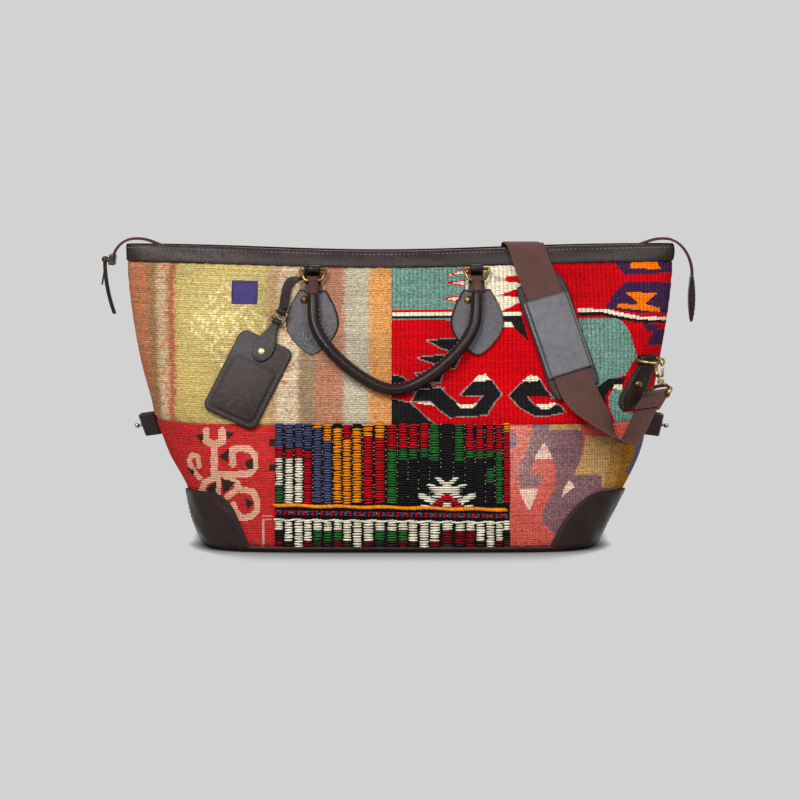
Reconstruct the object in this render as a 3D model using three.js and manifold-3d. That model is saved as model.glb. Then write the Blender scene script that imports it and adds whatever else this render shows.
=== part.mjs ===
// Weekender bag of patchwork kilim with leather trim, rolled handles, luggage tag and shoulder strap.
// Millimetres, +Z up, the front faces -Y, the origin is the centre of the base on the floor.
import * as THREE from "three";
import { mergeVertices } from "three/addons/utils/BufferGeometryUtils.js";
import Module from "manifold-3d";

const wasm = await Module();
wasm.setup();

// Body of the bag: a tube that is a rounded box at the base and closes to a flat mouth at the top
const bagHeight = 291;
const baseHalfLength = 190.5;
const topHalfLength = 271;
const baseHalfDepth = 112;
const topHalfDepth = 14;
const flare = 1.9;
const belly = 1.7;
const baseSquareness = 6;
const topSquareness = 3.2;

// How the soft body slumps: a dent at the left end, a swelling at the right, a sagging mouth
const leftDent = 7.5;
const leftDentHeight = 57;
const leftDentSpan = 24;
const rightSwell = 5.5;
const rightSwellHeight = 85;
const rightSwellSpan = 40;
const topSag = 7;
const sagCentre = -20;
const sagSpan = 160;

// Cloth, leather and the clearance between pieces that are sewn together
const fitGap = 0.3;
const kilimThick = 4;
const floatRidge = 1.6;
const floatPitch = 10;
const leatherThick = 2.3;
const baseThick = 4;
const baseProud = 1;
const boardThick = 3;
const liningThick = 2;
const liningClear = 5.8;
const bandDepth = 17;
const bandProud = 1.2;
const bandInside = 3;

// Patchwork seams on the front
const patchSeamHeight = 121;
const upperSeamX = -8;
const lowerSeamLeftX = -121;
const lowerSeamRightX = 106;
const cornerHeight = 52;
const cornerHalfWidth = 40;
const cornerFullness = 3.2;
const cornerStand = 1.4;
const labelX = -152;
const labelDrop = 44;
const labelWidth = 25;
const labelTall = 23;
const labelThick = 0.8;

// Zip: tapes in the mouth whose ends droop past the bag
const zipTapeThick = 1.2;
const zipChainHalf = 2.8;
const zipChainProud = 1.2;
const zipSunk = 5;
const zipRise = 4;
const zipTailHalf = 6.5;
const zipTailInset = 9;
const zipTailRadius = 23;
const leftTailTurn = 97;
const rightTailReach = 28;
const rightTailFall = 36;
const zipEndTabLength = 46;
const zipEndTabThick = 6.6;
const sliderTurn = 84;
const sliderLength = 10;
const sliderWall = 1.3;
const sliderClear = 0.9;
const bailRadius = 1;
const bailStand = 3.8;
const pullRingRadius = 2.6;
const pullRingWire = 0.7;
const pullTabLength = 22;
const pullTabWidth = 5;
const pullTabThick = 1.4;
const leatherPullLength = 52;
const leatherPullWidth = 6.4;
const leatherPullThick = 3.6;

// Handles, their rings and the spade tabs that carry them
const handleCentre = -5;
const handleHalfSpan = 80;
const ringDrop = 23;
const ringWire = 1.6;
const ringHalfWidth = 13;
const ringDepth = 12;
const ringLowHalf = 8;
const ringStand = 7.5;
const rollWall = 2;
const rollClear = 0.6;
const rollHalfWidth = 6.6;
const tabDrop = 40;
const tabHeight = 64;
const tabHalfWidth = 26;
const tabNeckHalf = 13;
const rivetDrop = 51;
const rivetShift = -8.5;
const rivetRadius = 4;
const rivetProud = 2.6;
const handleRadius = 5.4;
const handleRidge = 1.3;
const handleShoulder = 68;
const handleDrop = 136;
const handleFullness = 1.5;
const handleEndHalf = 5;
const handleEndWall = 1.3;

// Luggage tag
const tagX = -147;
const tagDrop = 128;
const tagLean = 24;
const tagWidth = 57;
const tagTall = 88;
const tagThick = 5;
const tagCornerRadius = 9;
const tagFlapHalf = 11;
const tagFlapDrop = 24;
const tagStudRadius = 3.6;
const tagStrapWidth = 9;
const tagStrapThick = 3.4;
const buckleRise = 30;
const buckleWire = 1.1;
const buckleHalfWidth = 6.4;
const buckleDepth = 11;
const tagEyeHalf = 1;

// Loops on the ends, each with a ball stud
const sideLoopHeight = 112;
const sideLoopDip = 0.15;
const sideLoopTall = 22;
const sideLoopReach = 19;
const sideLoopHalf = 11;
const sideLoopWall = 3;
const studBall = 2.6;
const studStem = 1.3;
const studLength = 5;

// Strap anchors: riveted chapes at the front right and back left corners, with D-ring, snap hook and loop
const chapeDrop = 115;
const chapeTall = 44;
const chapeHalfWidth = 14.5;
const chapeNeckHalf = 10.5;
const chapeLean = 0.25;
const chapeShift = -12;
const chapeRivetDrop = 20;
const dRingRise = 4;
const dRingStand = 6.5;
const dRingHalf = 13;
const dRingDepth = 20;
const dRingTilt = 72;
const hookWire = 1.8;
const hookHalf = 5.6;
const hookStem = 20;
const gateRadius = 1.3;
const strapLoopRise = 11;
const strapLoopTop = 8;

// Shoulder strap and its pad
const webWidth = 36;
const webThick = 2.2;
const webEndLength = 14;
const padX = 153;
const padDrop = 86;
const crossX = 121;
const padLength = 120;
const padWidth = 52;
const padThick = 3.2;
const padSleeveLength = 80;
const padSleeveThick = 1.6;
const padFlange = 2.5;

const V = (x, y, z) => new THREE.Vector3(x, y, z);
const radians = THREE.MathUtils.degToRad;
const lerp = THREE.MathUtils.lerp;
const smooth = THREE.MathUtils.smoothstep;

// Finishes
const finish = (color, roughness, metalness = 0) =>
  new THREE.MeshStandardMaterial({ color, roughness, metalness });
const darkLeather = finish(0x40302c, 0.55);
const handleLeather = finish(0x3a2826, 0.5);
const brass = finish(0xa98a4e, 0.35, 1);
const webbing = finish(0x684c48, 0.9);

// Closed solids from grids, rings and joins

// A closed solid from points and triangles, turned so that its faces point out.
function closed(points, faces) {
  let volume = 0;
  for (const [a, b, c] of faces) volume += points[a].dot(points[b].clone().cross(points[c]));
  const index = faces.flatMap(([a, b, c]) => (volume > 0 ? [a, b, c] : [a, c, b]));
  return new THREE.BufferGeometry().setFromPoints(points).setIndex(index);
}

// A sheet with thickness: two grids of points, outer and inner, joined round their edges.
function slab(across, along, outer, inner) {
  const points = [];
  const faces = [];
  for (const side of [outer, inner])
    for (let j = 0; j <= along; j++)
      for (let i = 0; i <= across; i++) points.push(side(i / across, j / along));
  const at = (layer, i, j) => layer * (across + 1) * (along + 1) + j * (across + 1) + i;
  const quad = (a, b, c, d) => faces.push([a, b, c], [a, c, d]);
  for (let j = 0; j < along; j++)
    for (let i = 0; i < across; i++) {
      quad(at(0, i, j), at(0, i + 1, j), at(0, i + 1, j + 1), at(0, i, j + 1));
      quad(at(1, i, j), at(1, i, j + 1), at(1, i + 1, j + 1), at(1, i + 1, j));
    }
  for (let i = 0; i < across; i++) {
    quad(at(0, i, 0), at(1, i, 0), at(1, i + 1, 0), at(0, i + 1, 0));
    quad(at(0, i, along), at(0, i + 1, along), at(1, i + 1, along), at(1, i, along));
  }
  for (let j = 0; j < along; j++) {
    quad(at(0, 0, j), at(0, 0, j + 1), at(1, 0, j + 1), at(1, 0, j));
    quad(at(0, across, j), at(1, across, j), at(1, across, j + 1), at(0, across, j + 1));
  }
  return closed(points, faces);
}

// A solid through a row of rings of points, capped at its ends or joined end to end.
function loft(rings, endless = false) {
  const sides = rings[0].length;
  const points = rings.flat();
  const faces = [];
  const spans = endless ? rings.length : rings.length - 1;
  for (let j = 0; j < spans; j++)
    for (let i = 0; i < sides; i++) {
      const [a, b] = [j * sides + i, j * sides + ((i + 1) % sides)];
      const [c, d] = [a, b].map((k) => (k + sides) % points.length);
      faces.push([a, b, d], [a, d, c]);
    }
  if (!endless) {
    const last = points.length - sides;
    for (let i = 1; i < sides - 1; i++) faces.push([0, i + 1, i], [last, last + i, last + i + 1]);
  }
  return closed(points, faces);
}

// A bar along a path: section(i) gives its [side, lift] points, lift lying towards the reference direction.
function sweep(path, reference, section, endless = false) {
  const count = path.length;
  const step = (i) => (endless ? path[(i + count) % count] : path[Math.min(Math.max(i, 0), count - 1)]);
  const rings = path.map((point, i) => {
    const tangent = step(i + 1).clone().sub(step(i - 1)).normalize();
    const side = tangent.clone().cross(reference).normalize();
    const lift = side.clone().cross(tangent);
    return section(i).map(([p, q]) => point.clone().addScaledVector(side, p).addScaledVector(lift, q));
  });
  return loft(rings, endless);
}

const polygon = (sides, half, tall = half) =>
  Array.from({ length: sides }, (_, k) => {
    const turn = (2 * Math.PI * k) / sides;
    return [half * Math.cos(turn), tall * Math.sin(turn)];
  });

// The corners of a closed outline, each rounded by a curve of a few points.
function rounded(corners, radius, steps = 2) {
  return corners.flatMap((corner, i) => {
    const before = corners[(i + corners.length - 1) % corners.length];
    const after = corners[(i + 1) % corners.length];
    const from = corner.clone().lerp(before, radius / corner.distanceTo(before));
    const to = corner.clone().lerp(after, radius / corner.distanceTo(after));
    return Array.from({ length: steps + 1 }, (_, k) => {
      const share = k / steps;
      return from.clone().lerp(corner, share).lerp(corner.clone().lerp(to, share), share);
    });
  });
}

const flat = (pairs) => pairs.map(([x, y]) => new THREE.Vector2(x, y));

// A wire bent to a closed outline in the local XY plane.
function wireLoop(corners, radius, wire, steps = 2) {
  const path = rounded(flat(corners), radius, steps).map((p) => V(p.x, p.y, 0));
  return sweep(path, V(0, 0, 1), () => polygon(6, wire), true);
}

function extruded(outline, depth) {
  return new THREE.ExtrudeGeometry(new THREE.Shape(outline), {
    depth,
    bevelEnabled: false,
  }).translate(0, 0, -depth / 2);
}

// A leather roll round a bar: a short tube along local X.
function roll(outerRadius, innerRadius, halfWidth, sides = 8) {
  const shape = new THREE.Shape(flat(polygon(sides, outerRadius)));
  shape.holes.push(new THREE.Path(flat(polygon(sides, innerRadius))));
  const settings = { depth: 2 * halfWidth, bevelEnabled: false };
  return new THREE.ExtrudeGeometry(shape, settings).translate(0, 0, -halfWidth).rotateY(Math.PI / 2);
}

// A turned piece along local Z from its half profile.
const turned = (profile, sides = 8) => new THREE.LatheGeometry(flat(profile), sides).rotateX(Math.PI / 2);

function manifold(geometry) {
  const bare = new THREE.BufferGeometry().setAttribute("position", geometry.getAttribute("position"));
  if (geometry.index) bare.setIndex(geometry.index);
  const merged = mergeVertices(bare, 1e-3);
  return new wasm.Manifold(
    new wasm.Mesh({
      numProp: 3,
      vertProperties: merged.attributes.position.array,
      triVerts: new Uint32Array(merged.index.array),
    }),
  );
}

function geometryOf(solid) {
  const mesh = solid.getMesh();
  return new THREE.BufferGeometry()
    .setAttribute("position", new THREE.BufferAttribute(mesh.vertProperties, mesh.numProp))
    .setIndex(new THREE.BufferAttribute(mesh.triVerts, 1));
}

const join = (...pieces) => geometryOf(pieces.map(manifold).reduce((a, b) => a.add(b)));
const cut = (whole, tool) => geometryOf(manifold(whole).subtract(manifold(tool)));

// The bag's skin

function halfLength(z, side) {
  const rise = Math.min(Math.max(z / bagHeight, 0), 1);
  const straight = baseHalfLength + (topHalfLength - baseHalfLength) * (1 - (1 - rise) ** flare);
  const dent = -leftDent * Math.exp(-(((z - leftDentHeight) / leftDentSpan) ** 2));
  const swell = rightSwell * Math.exp(-(((z - rightSwellHeight) / rightSwellSpan) ** 2));
  return straight + (side < 0 ? dent : swell);
}

function halfDepth(z) {
  const rise = Math.max(z / bagHeight, 0);
  return topHalfDepth + (baseHalfDepth - topHalfDepth) * (1 - rise ** belly);
}

const squareness = (z) => topSquareness + (baseSquareness - topSquareness) * (1 - z / bagHeight) ** 2;
const sag = (x, z) => topSag * Math.exp(-(((x - sagCentre) / sagSpan) ** 2)) * (z / bagHeight) ** 3;

// The skin's point at a height and a turn round the bag (-90 degrees is the front), proud of the cloth.
function skin(z, turn, proud = 0) {
  const [c, s, n] = [Math.cos(turn), Math.sin(turn), squareness(z)];
  const reach = (Math.abs(c) ** n + Math.abs(s) ** n) ** (-1 / n);
  const x = (halfLength(z, c) + proud) * reach * c;
  const y = (halfDepth(z) + proud) * reach * s;
  return V(x, y, z - sag(x, z));
}

const front = -1;
const back = 1;

function turnAt(z, x, face) {
  const share = Math.min(Math.max(x / halfLength(z, x), -1), 1);
  const n = squareness(z);
  return Math.atan2(face * (1 - Math.abs(share) ** n) ** (1 / n), share);
}

const onFace = (face, x, z, proud) => skin(z, turnAt(z, x, face), proud);

// The turn of the rounded corner, where the skin faces half forwards and half sideways.
function cornerTurn(z, face, side) {
  const slope = (halfLength(z, side) / halfDepth(z)) ** (1 / (squareness(z) - 1));
  const turn = Math.atan2(1, slope);
  return face * (side > 0 ? turn : Math.PI - turn);
}

// The turn reached by walking a distance round the bag.
function walk(z, turn, distance) {
  const steps = 12;
  const nudge = 0.002;
  for (let i = 0; i < steps; i++) {
    const speed = skin(z, turn + nudge).distanceTo(skin(z, turn - nudge)) / (2 * nudge);
    turn += distance / steps / speed;
  }
  return turn;
}

// Turns from one to another, evenly spaced along the skin.
function spread(z, from, to, count) {
  const fine = 96;
  const turns = Array.from({ length: fine + 1 }, (_, k) => lerp(from, to, k / fine));
  const lengths = [0];
  for (let k = 1; k <= fine; k++)
    lengths.push(lengths[k - 1] + skin(z, turns[k]).distanceTo(skin(z, turns[k - 1])));
  return Array.from({ length: count + 1 }, (_, i) => {
    const target = (lengths[fine] * i) / count;
    const k = Math.max(1, Math.min(fine, lengths.findIndex((l) => l >= target - 1e-9)));
    const share = (target - lengths[k - 1]) / (lengths[k] - lengths[k - 1]);
    return lerp(turns[k - 1], turns[k], share);
  });
}

// A frame on the skin: X along it to the right, Y up it, Z out of it.
function frameOn(z, turn) {
  const right = skin(z, turn + 0.002).sub(skin(z, turn - 0.002)).normalize();
  const up = skin(z + 1, turn).sub(skin(z - 1, turn));
  up.addScaledVector(right, -up.dot(right)).normalize();
  const out = right.clone().cross(up);
  return new THREE.Matrix4().makeBasis(right, up, out).setPosition(skin(z, turn));
}

// A flat piece laid on the skin: anchor(z) is its middle, half(v) its half width from its foot to its head.
function laid(anchor, low, high, half, across, along, inner, outer) {
  const point = (proud) => (u, v) => {
    const z = lerp(low, high, v);
    return skin(z, walk(z, anchor(z), (2 * u - 1) * half(v)), proud);
  };
  return slab(across, along, point(outer), point(inner));
}

const bag = new THREE.Group();

function add(name, geometry, material) {
  const piece = new THREE.Mesh(geometry, material);
  piece.name = name;
  bag.add(piece);
}

// Body

const kilimFoot = baseThick + fitGap;
const kilimHead = bagHeight - bandDepth - fitGap;

// A patch of kilim between two heights and two x positions; ridge raises upright ribs of float yarn.
function kilim(face, low, high, left, right, across, along, ridge = 0) {
  const rows = Array.from({ length: along + 1 }, (_, j) => {
    const z = lerp(low, high, j / along);
    const from = turnAt(z, left + fitGap / 2, face);
    const to = turnAt(z, right - fitGap / 2, face);
    return { z, turns: spread(z, from, to, across) };
  });
  const point = (base, lift) => (u, v) => {
    const row = rows[Math.round(v * along)];
    const column = Math.round(u * across);
    const p = skin(row.z, row.turns[column], base + lift * (column % 2));
    p.y += (face * fitGap) / 2;
    return p;
  };
  return slab(across, along, point(0, ridge), point(-kilimThick, 0));
}

function addKilim() {
  const [low, seamLow, seamHigh, high] = [
    kilimFoot,
    patchSeamHeight - fitGap / 2,
    patchSeamHeight + fitGap / 2,
    kilimHead,
  ];
  const ribs = Math.round((lowerSeamRightX - lowerSeamLeftX) / floatPitch);
  const far = Infinity;
  add("kilim_striped", kilim(front, seamHigh, high, -far, upperSeamX, 10, 6), finish(0xcdbb78, 0.95));
  add("kilim_red", kilim(front, seamHigh, high, upperSeamX, far, 10, 6), finish(0xc40a16, 0.95));
  add("kilim_rose", kilim(front, low, seamLow, -far, lowerSeamLeftX, 7, 4), finish(0xce4242, 0.95));
  add(
    "kilim_float",
    kilim(front, low, seamLow, lowerSeamLeftX, lowerSeamRightX, 2 * ribs, 3, floatRidge),
    finish(0x8c2b24, 0.95),
  );
  add("kilim_dusk", kilim(front, low, seamLow, lowerSeamRightX, far, 7, 3), finish(0xd66c5c, 0.95));
  add("back_kilim_left", kilim(back, seamHigh, high, -far, upperSeamX, 10, 5), finish(0xb06848, 0.95));
  add("back_kilim_right", kilim(back, seamHigh, high, upperSeamX, far, 10, 5), finish(0x76a092, 0.95));
  add("back_kilim_lower", kilim(back, low, seamLow, -far, far, 20, 3), finish(0xb0402f, 0.95));
}

function perimeter(z, proud, count) {
  return spread(z, -Math.PI, Math.PI, count)
    .slice(0, count)
    .map((turn) => skin(z, turn, proud));
}

const outlineOf = (points) => points.map((p) => new THREE.Vector2(p.x, p.y));

function addBase() {
  const sole = extruded(outlineOf(perimeter(0, baseProud, 36)), baseThick).translate(0, 0, baseThick / 2);
  const boardInset = -(kilimThick + liningThick);
  const board = extruded(outlineOf(perimeter(kilimFoot, boardInset, 28)), boardThick);
  add("base_panel", sole, darkLeather);
  add("base_board", board.translate(0, 0, kilimFoot + boardThick / 2), finish(0x6b5a48, 0.9));
}

// The lining is an open cup that hangs inside the kilim.
function addLining() {
  const foot = kilimFoot + boardThick + fitGap;
  const rim = kilimHead - 2 * fitGap;
  const wall = -kilimThick - liningClear;
  const cup = (lift, proud) =>
    loft([0, 0.34, 0.67, 1].map((v) => perimeter(lerp(foot, rim, v) + lift, proud, 20)));
  const lining = cut(cup(0, wall), cup(liningThick, wall - liningThick));
  add("lining", lining, finish(0x4a3a34, 0.9));
}

function addCorners() {
  const arch = (v) => cornerHalfWidth * (1 - (0.97 * v) ** cornerFullness) ** (1 / cornerFullness);
  for (const [faceName, face] of [["front", front], ["back", back]])
    for (const [sideName, side] of [["left", -1], ["right", 1]]) {
      const anchor = (z) => cornerTurn(z, face, side);
      const proud = cornerStand + leatherThick;
      const piece = laid(anchor, kilimFoot, kilimFoot + cornerHeight, arch, 6, 4, cornerStand, proud);
      add(`corner_${faceName}_${sideName}`, piece, darkLeather);
    }
}

function addBands() {
  const across = 24;
  for (const [name, face] of [["band_front", front], ["band_back", back]]) {
    const point = (proud) => (u, v) => {
      const z = lerp(bagHeight - bandDepth, bagHeight, v);
      const turns = spread(z, face * Math.PI, 0, across);
      const p = skin(z, turns[Math.round(u * across)], proud);
      p.y += (face * fitGap) / 2;
      return p;
    };
    add(name, slab(across, 1, point(bandProud), point(-bandInside)), darkLeather);
  }
}

function addLabel() {
  const anchor = (z) => turnAt(z, labelX, front);
  const half = () => labelWidth / 2;
  const low = bagHeight - labelDrop - labelTall / 2;
  const proud = fitGap + labelThick;
  add("label", laid(anchor, low, low + labelTall, half, 2, 2, fitGap, proud), finish(0x2f2c63, 0.85));
}

// Zip

// The zip's centre line from its left tail over the mouth to its right tail, with the tape's half width.
function zipLine() {
  const line = [];
  const tailX = topHalfLength - zipTailInset;
  const tailZ = bagHeight + zipRise;
  const inside = (x) => {
    const share = Math.abs(x) / (topHalfLength - bandInside);
    const depth = topHalfDepth - bandInside;
    return depth * (1 - Math.min(share, 1) ** topSquareness) ** (1 / topSquareness) - fitGap;
  };
  const tail = (side, degrees, reach, fall) =>
    Array.from({ length: 6 }, (_, k) => {
      const turn = radians((degrees * (k + 1)) / 6);
      const x = side * (tailX + reach * Math.sin(turn));
      return { x, z: tailZ - fall * (1 - Math.cos(turn)), half: zipTailHalf };
    });
  line.push(...tail(-1, leftTailTurn, zipTailRadius, zipTailRadius).reverse());
  const spans = 14;
  for (let k = 0; k <= spans; k++) {
    const x = tailX * Math.sin(Math.PI * (k / spans - 0.5));
    const rise = smooth(Math.abs(x), tailX - 41, tailX - 3);
    const z = bagHeight - zipSunk + (zipSunk + zipRise) * rise - sag(x, bagHeight) * (1 - rise);
    line.push({ x, z, half: lerp(inside(x), zipTailHalf, smooth(rise, 0.3, 0.7)) });
  }
  line.push(...tail(1, 90, rightTailReach, rightTailFall));
  return line;
}

function addZip() {
  const line = zipLine();
  const along = line.length - 1;
  const columns = (half, face) =>
    [fitGap / 2, zipChainHalf, zipChainHalf + 0.4, half].map((y) => face * y);
  const lifts = [zipChainProud, zipChainProud, 0, 0];
  for (const [name, face] of [["zip_front", front], ["zip_back", back]]) {
    const point = (top) => (u, v) => {
      const i = Math.round(v * along);
      const column = Math.round(u * 3);
      const [a, b] = [line[Math.max(i - 1, 0)], line[Math.min(i + 1, along)]];
      const out = V(-(b.z - a.z), 0, b.x - a.x).normalize();
      const y = columns(line[i].half, face)[column];
      const lift = top ? zipTapeThick / 2 + lifts[column] : -zipTapeThick / 2;
      return V(line[i].x, y, line[i].z).addScaledVector(out, lift);
    };
    add(name, slab(3, along, point(true), point(false)), finish(0x5a2a30, 0.85));
  }
}

// The leather tab sewn to the right tail's end hangs straight down from it.
function addZipEndTab() {
  const x = topHalfLength - zipTailInset + rightTailReach;
  const top = bagHeight + zipRise - rightTailFall - fitGap;
  const half = (v) => zipTailHalf * lerp(0.8, 1.15, smooth(v, 0, 0.5));
  const thick = (v) => (zipEndTabThick / 2) * (0.4 + 0.6 * Math.sin(Math.PI * v));
  const point = (side) => (u, v) =>
    V(x + side * thick(v), (2 * u - 1) * half(v), top - zipEndTabLength * (1 - v));
  add("zip_end_tab", slab(2, 6, point(1), point(-1)), darkLeather);
}

// Slider on the left tail; the bail on it carries the pull ring, the metal tab and the leather pull.
function addSlider() {
  const turn = radians(sliderTurn);
  const centre = V(-(topHalfLength - zipTailInset), 0, bagHeight + zipRise - zipTailRadius);
  const place = new THREE.Matrix4().makeRotationY(-turn).setPosition(centre);
  const core = zipTapeThick / 2 + zipChainProud / 2;
  const innerTall = zipTapeThick + zipChainProud + 2 * sliderClear;
  const innerHalf = zipTailHalf + sliderClear;
  const outerHalf = innerHalf + sliderWall;
  const outerTall = innerTall + 2 * sliderWall;
  const box = (half, tall) => flat([[-half, -tall], [half, -tall], [half, tall], [-half, tall]]);
  const block = extruded(rounded(box(outerHalf, outerTall / 2), sliderWall, 1), sliderLength);
  const sleeve = cut(block, extruded(box(innerHalf, innerTall / 2), 2 * sliderLength))
    .rotateZ(Math.PI / 2)
    .rotateY(Math.PI / 2)
    .translate(0, 0, zipTailRadius + core - zipTapeThick / 2);
  const bailZ = zipTailRadius + core - zipTapeThick / 2 + outerTall / 2 + bailStand;
  const bar = new THREE.CylinderGeometry(bailRadius, bailRadius, 2 * (outerHalf - 1), 8).translate(0, 0, bailZ);
  const ear = (y) => new THREE.BoxGeometry(2.6, 1.8, bailStand + 2).translate(0, y, bailZ - bailStand / 2);
  const ears = outerHalf - 1.9;
  const slider = join(sleeve, bar, ear(ears), ear(-ears)).applyMatrix4(place);
  add("zip_slider", slider, brass);
  addPull(V(0, 0, bailZ).applyMatrix4(place));
}

function addPull(bail) {
  const ringY = 2.6;
  const ringDown = pullRingRadius - bailRadius - pullRingWire - fitGap;
  const ring = new THREE.TorusGeometry(pullRingRadius, pullRingWire, 5, 11).rotateX(Math.PI / 2);
  add("zip_pull_ring", ring.translate(bail.x, ringY, bail.z - ringDown), brass);
  const tabTop = bail.z - ringDown - pullRingRadius - pullRingWire - fitGap;
  const tabShape = rounded(
    flat([[-pullTabWidth / 2, 0], [pullTabWidth / 2, 0], [pullTabWidth / 2, -pullTabLength], [-pullTabWidth / 2, -pullTabLength]]),
    pullTabWidth / 3,
  );
  const tab = extruded(tabShape, pullTabThick).rotateX(Math.PI / 2).rotateZ(Math.PI / 2);
  add("zip_pull_tab", tab.rotateY(radians(10)).translate(bail.x, ringY, tabTop), brass);
  const eyeOuter = bailRadius + rollClear + 1.4;
  const width = leatherPullWidth / 2;
  const eyeHalf = width - 0.9;
  const eye = roll(eyeOuter, bailRadius + rollClear, eyeHalf, 8).rotateZ(Math.PI / 2);
  const point = (lift) => (u, v) => {
    const half = lerp(eyeHalf, width, smooth(v, 0.05, 0.3));
    return V(lift + 9 * v * v, (2 * u - 1) * half, -eyeOuter * 0.8 - leatherPullLength * v);
  };
  const strip = slab(1, 4, point(leatherPullThick / 2), point(-leatherPullThick / 2));
  const pullY = ringY - pullTabWidth / 2 - fitGap - width;
  add("zip_leather_pull", join(eye, strip).translate(bail.x, pullY, bail.z), darkLeather);
}

// Handles

const ringHeight = bagHeight - ringDrop;
const ringX = (side) => handleCentre + side * handleHalfSpan;

// The frames of a face's two rings are parallel, with X along the line between them, so they share one hinge line.
function ringFrame(face, side) {
  const frames = [-1, 1].map((end) => frameOn(ringHeight, turnAt(ringHeight, ringX(end), face)));
  const [left, right] = frames.map((frame) => V(0, 0, 0).applyMatrix4(frame));
  const across = right.clone().sub(left).multiplyScalar(-face).normalize();
  const up = V(0, 0, 0);
  for (const frame of frames) up.add(V(0, 1, 0).transformDirection(frame));
  up.addScaledVector(across, -up.dot(across)).normalize();
  const out = across.clone().cross(up);
  return new THREE.Matrix4().makeBasis(across, up, out).setPosition(side < 0 ? left : right);
}

const rollOuter = ringWire + rollClear + rollWall;
const rollInner = ringWire + rollClear;

const spade = (v) => {
  const lower = tabHalfWidth * (1 - (1 - Math.min(2 * v, 1)) ** 1.8) ** 0.8;
  const upper = lerp(tabHalfWidth, tabNeckHalf, Math.max(2 * v - 1, 0) ** 1.6);
  return Math.max(v < 0.5 ? lower : upper, 1);
};

const dome = (radius, proud) =>
  turned([[0, -0.5], [radius, -0.5], [radius, 0.3], [0.75 * radius, 0.7 * proud], [0, proud]]);

// The tab is one leather piece: a spade sewn to the kilim, a neck and a roll round the ring's bar, with its rivet.
function handleTab(face, side) {
  const anchor = (z) => turnAt(z, ringX(side), face);
  const top = bagHeight - tabDrop;
  const proud = fitGap + leatherThick;
  const patch = laid(anchor, top - tabHeight, top, spade, 2, 6, fitGap, proud);
  const frame = ringFrame(face, side);
  const neckLength = tabDrop - ringDrop + 6;
  const neckOutline = flat([
    [-rollHalfWidth, 1],
    [-rollHalfWidth, -6],
    [-tabNeckHalf + 4, -neckLength],
    [tabNeckHalf - 4, -neckLength],
    [rollHalfWidth, -6],
    [rollHalfWidth, 1],
  ]);
  const neckThick = ringStand - rollOuter + 0.3 - fitGap;
  const neck = extruded(neckOutline, neckThick).translate(0, 0, fitGap + neckThick / 2);
  const barRoll = roll(rollOuter, rollInner, rollHalfWidth).translate(0, 0, ringStand);
  const rivetZ = bagHeight - rivetDrop;
  const rivetTurn = walk(rivetZ, anchor(rivetZ), rivetShift);
  const rivet = dome(rivetRadius, rivetProud).translate(0, 0, proud * 0.95);
  return join(
    patch,
    neck.applyMatrix4(frame),
    barRoll.applyMatrix4(frame),
    rivet.applyMatrix4(frameOn(rivetZ, rivetTurn)),
  );
}

function handleRing(face, side) {
  const loop = wireLoop(
    [[-ringHalfWidth, 0], [ringHalfWidth, 0], [ringLowHalf, -ringDepth], [-ringLowHalf, -ringDepth]],
    2.6,
    ringWire,
  );
  return loop.translate(0, 0, ringStand).applyMatrix4(ringFrame(face, side));
}

// The handle's centre line hangs from ring to ring, lying on the tabs and then on the kilim.
function handlePath(face) {
  const low = bagHeight - handleDrop;
  const shoulder = bagHeight - handleShoulder;
  const proudAt = (z) => {
    const onTab = handleRadius + fitGap + leatherThick + 2;
    return lerp(handleRadius + 1.6, onTab, smooth(z, low, low + tabHeight / 2));
  };
  const bow = [];
  const steps = 12;
  for (let k = 0; k <= steps; k++) {
    const turn = Math.PI * (1 - k / steps);
    const [c, s] = [Math.cos(turn), Math.sin(turn)];
    const x = handleCentre + handleHalfSpan * Math.sign(c) * Math.abs(c) ** (2 / handleFullness);
    const z = shoulder - (shoulder - low) * s ** (2 / handleFullness);
    bow.push(onFace(face, x, z, proudAt(z)));
  }
  const leg = (side) => {
    const frame = ringFrame(face, side);
    const near = V(0, -ringDepth - rollInner - handleEndWall / 2, ringStand).applyMatrix4(frame);
    const far = V(0, -ringDepth - rollOuter - 8, ringStand + 2.2).applyMatrix4(frame);
    return [near, far];
  };
  const [leftNear, leftFar] = leg(-1);
  const [rightNear, rightFar] = leg(1);
  return [leftNear, leftFar, ...bow, rightFar, rightNear];
}

function handle(face) {
  const path = handlePath(face);
  const last = path.length - 1;
  const section = (i) => {
    const fromEnd = Math.min(i, last - i);
    if (fromEnd === 0) return polygon(8, handleEndHalf, rollInner + 0.4);
    const tube = polygon(8, handleRadius * (fromEnd === 1 ? 0.9 : 1));
    tube[4][0] -= fromEnd === 1 ? 0 : handleRidge;
    return tube;
  };
  const outwards = V(0, face, 0.45).normalize();
  const tube = sweep(path, outwards, face < 0 ? section : (i) => section(i).map(([p, q]) => [-p, q]));
  const ends = [-1, 1].map((side) =>
    roll(rollInner + handleEndWall, rollInner, handleEndHalf)
      .translate(0, -ringDepth, ringStand)
      .applyMatrix4(ringFrame(face, side)),
  );
  return join(tube, ...ends);
}

function addHandles() {
  for (const [faceName, face] of [["front", front], ["back", back]]) {
    for (const [sideName, side] of [["left", -1], ["right", 1]]) {
      add(`handle_tab_${faceName}_${sideName}`, handleTab(face, side), darkLeather);
      add(`${faceName}_ring_${sideName}`, handleRing(face, side), brass);
    }
    add(`${faceName}_handle`, handle(face), handleLeather);
  }
}

// Luggage tag: a strap round the ring's bar, a buckle that hinges on it, and the tag itself

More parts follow.
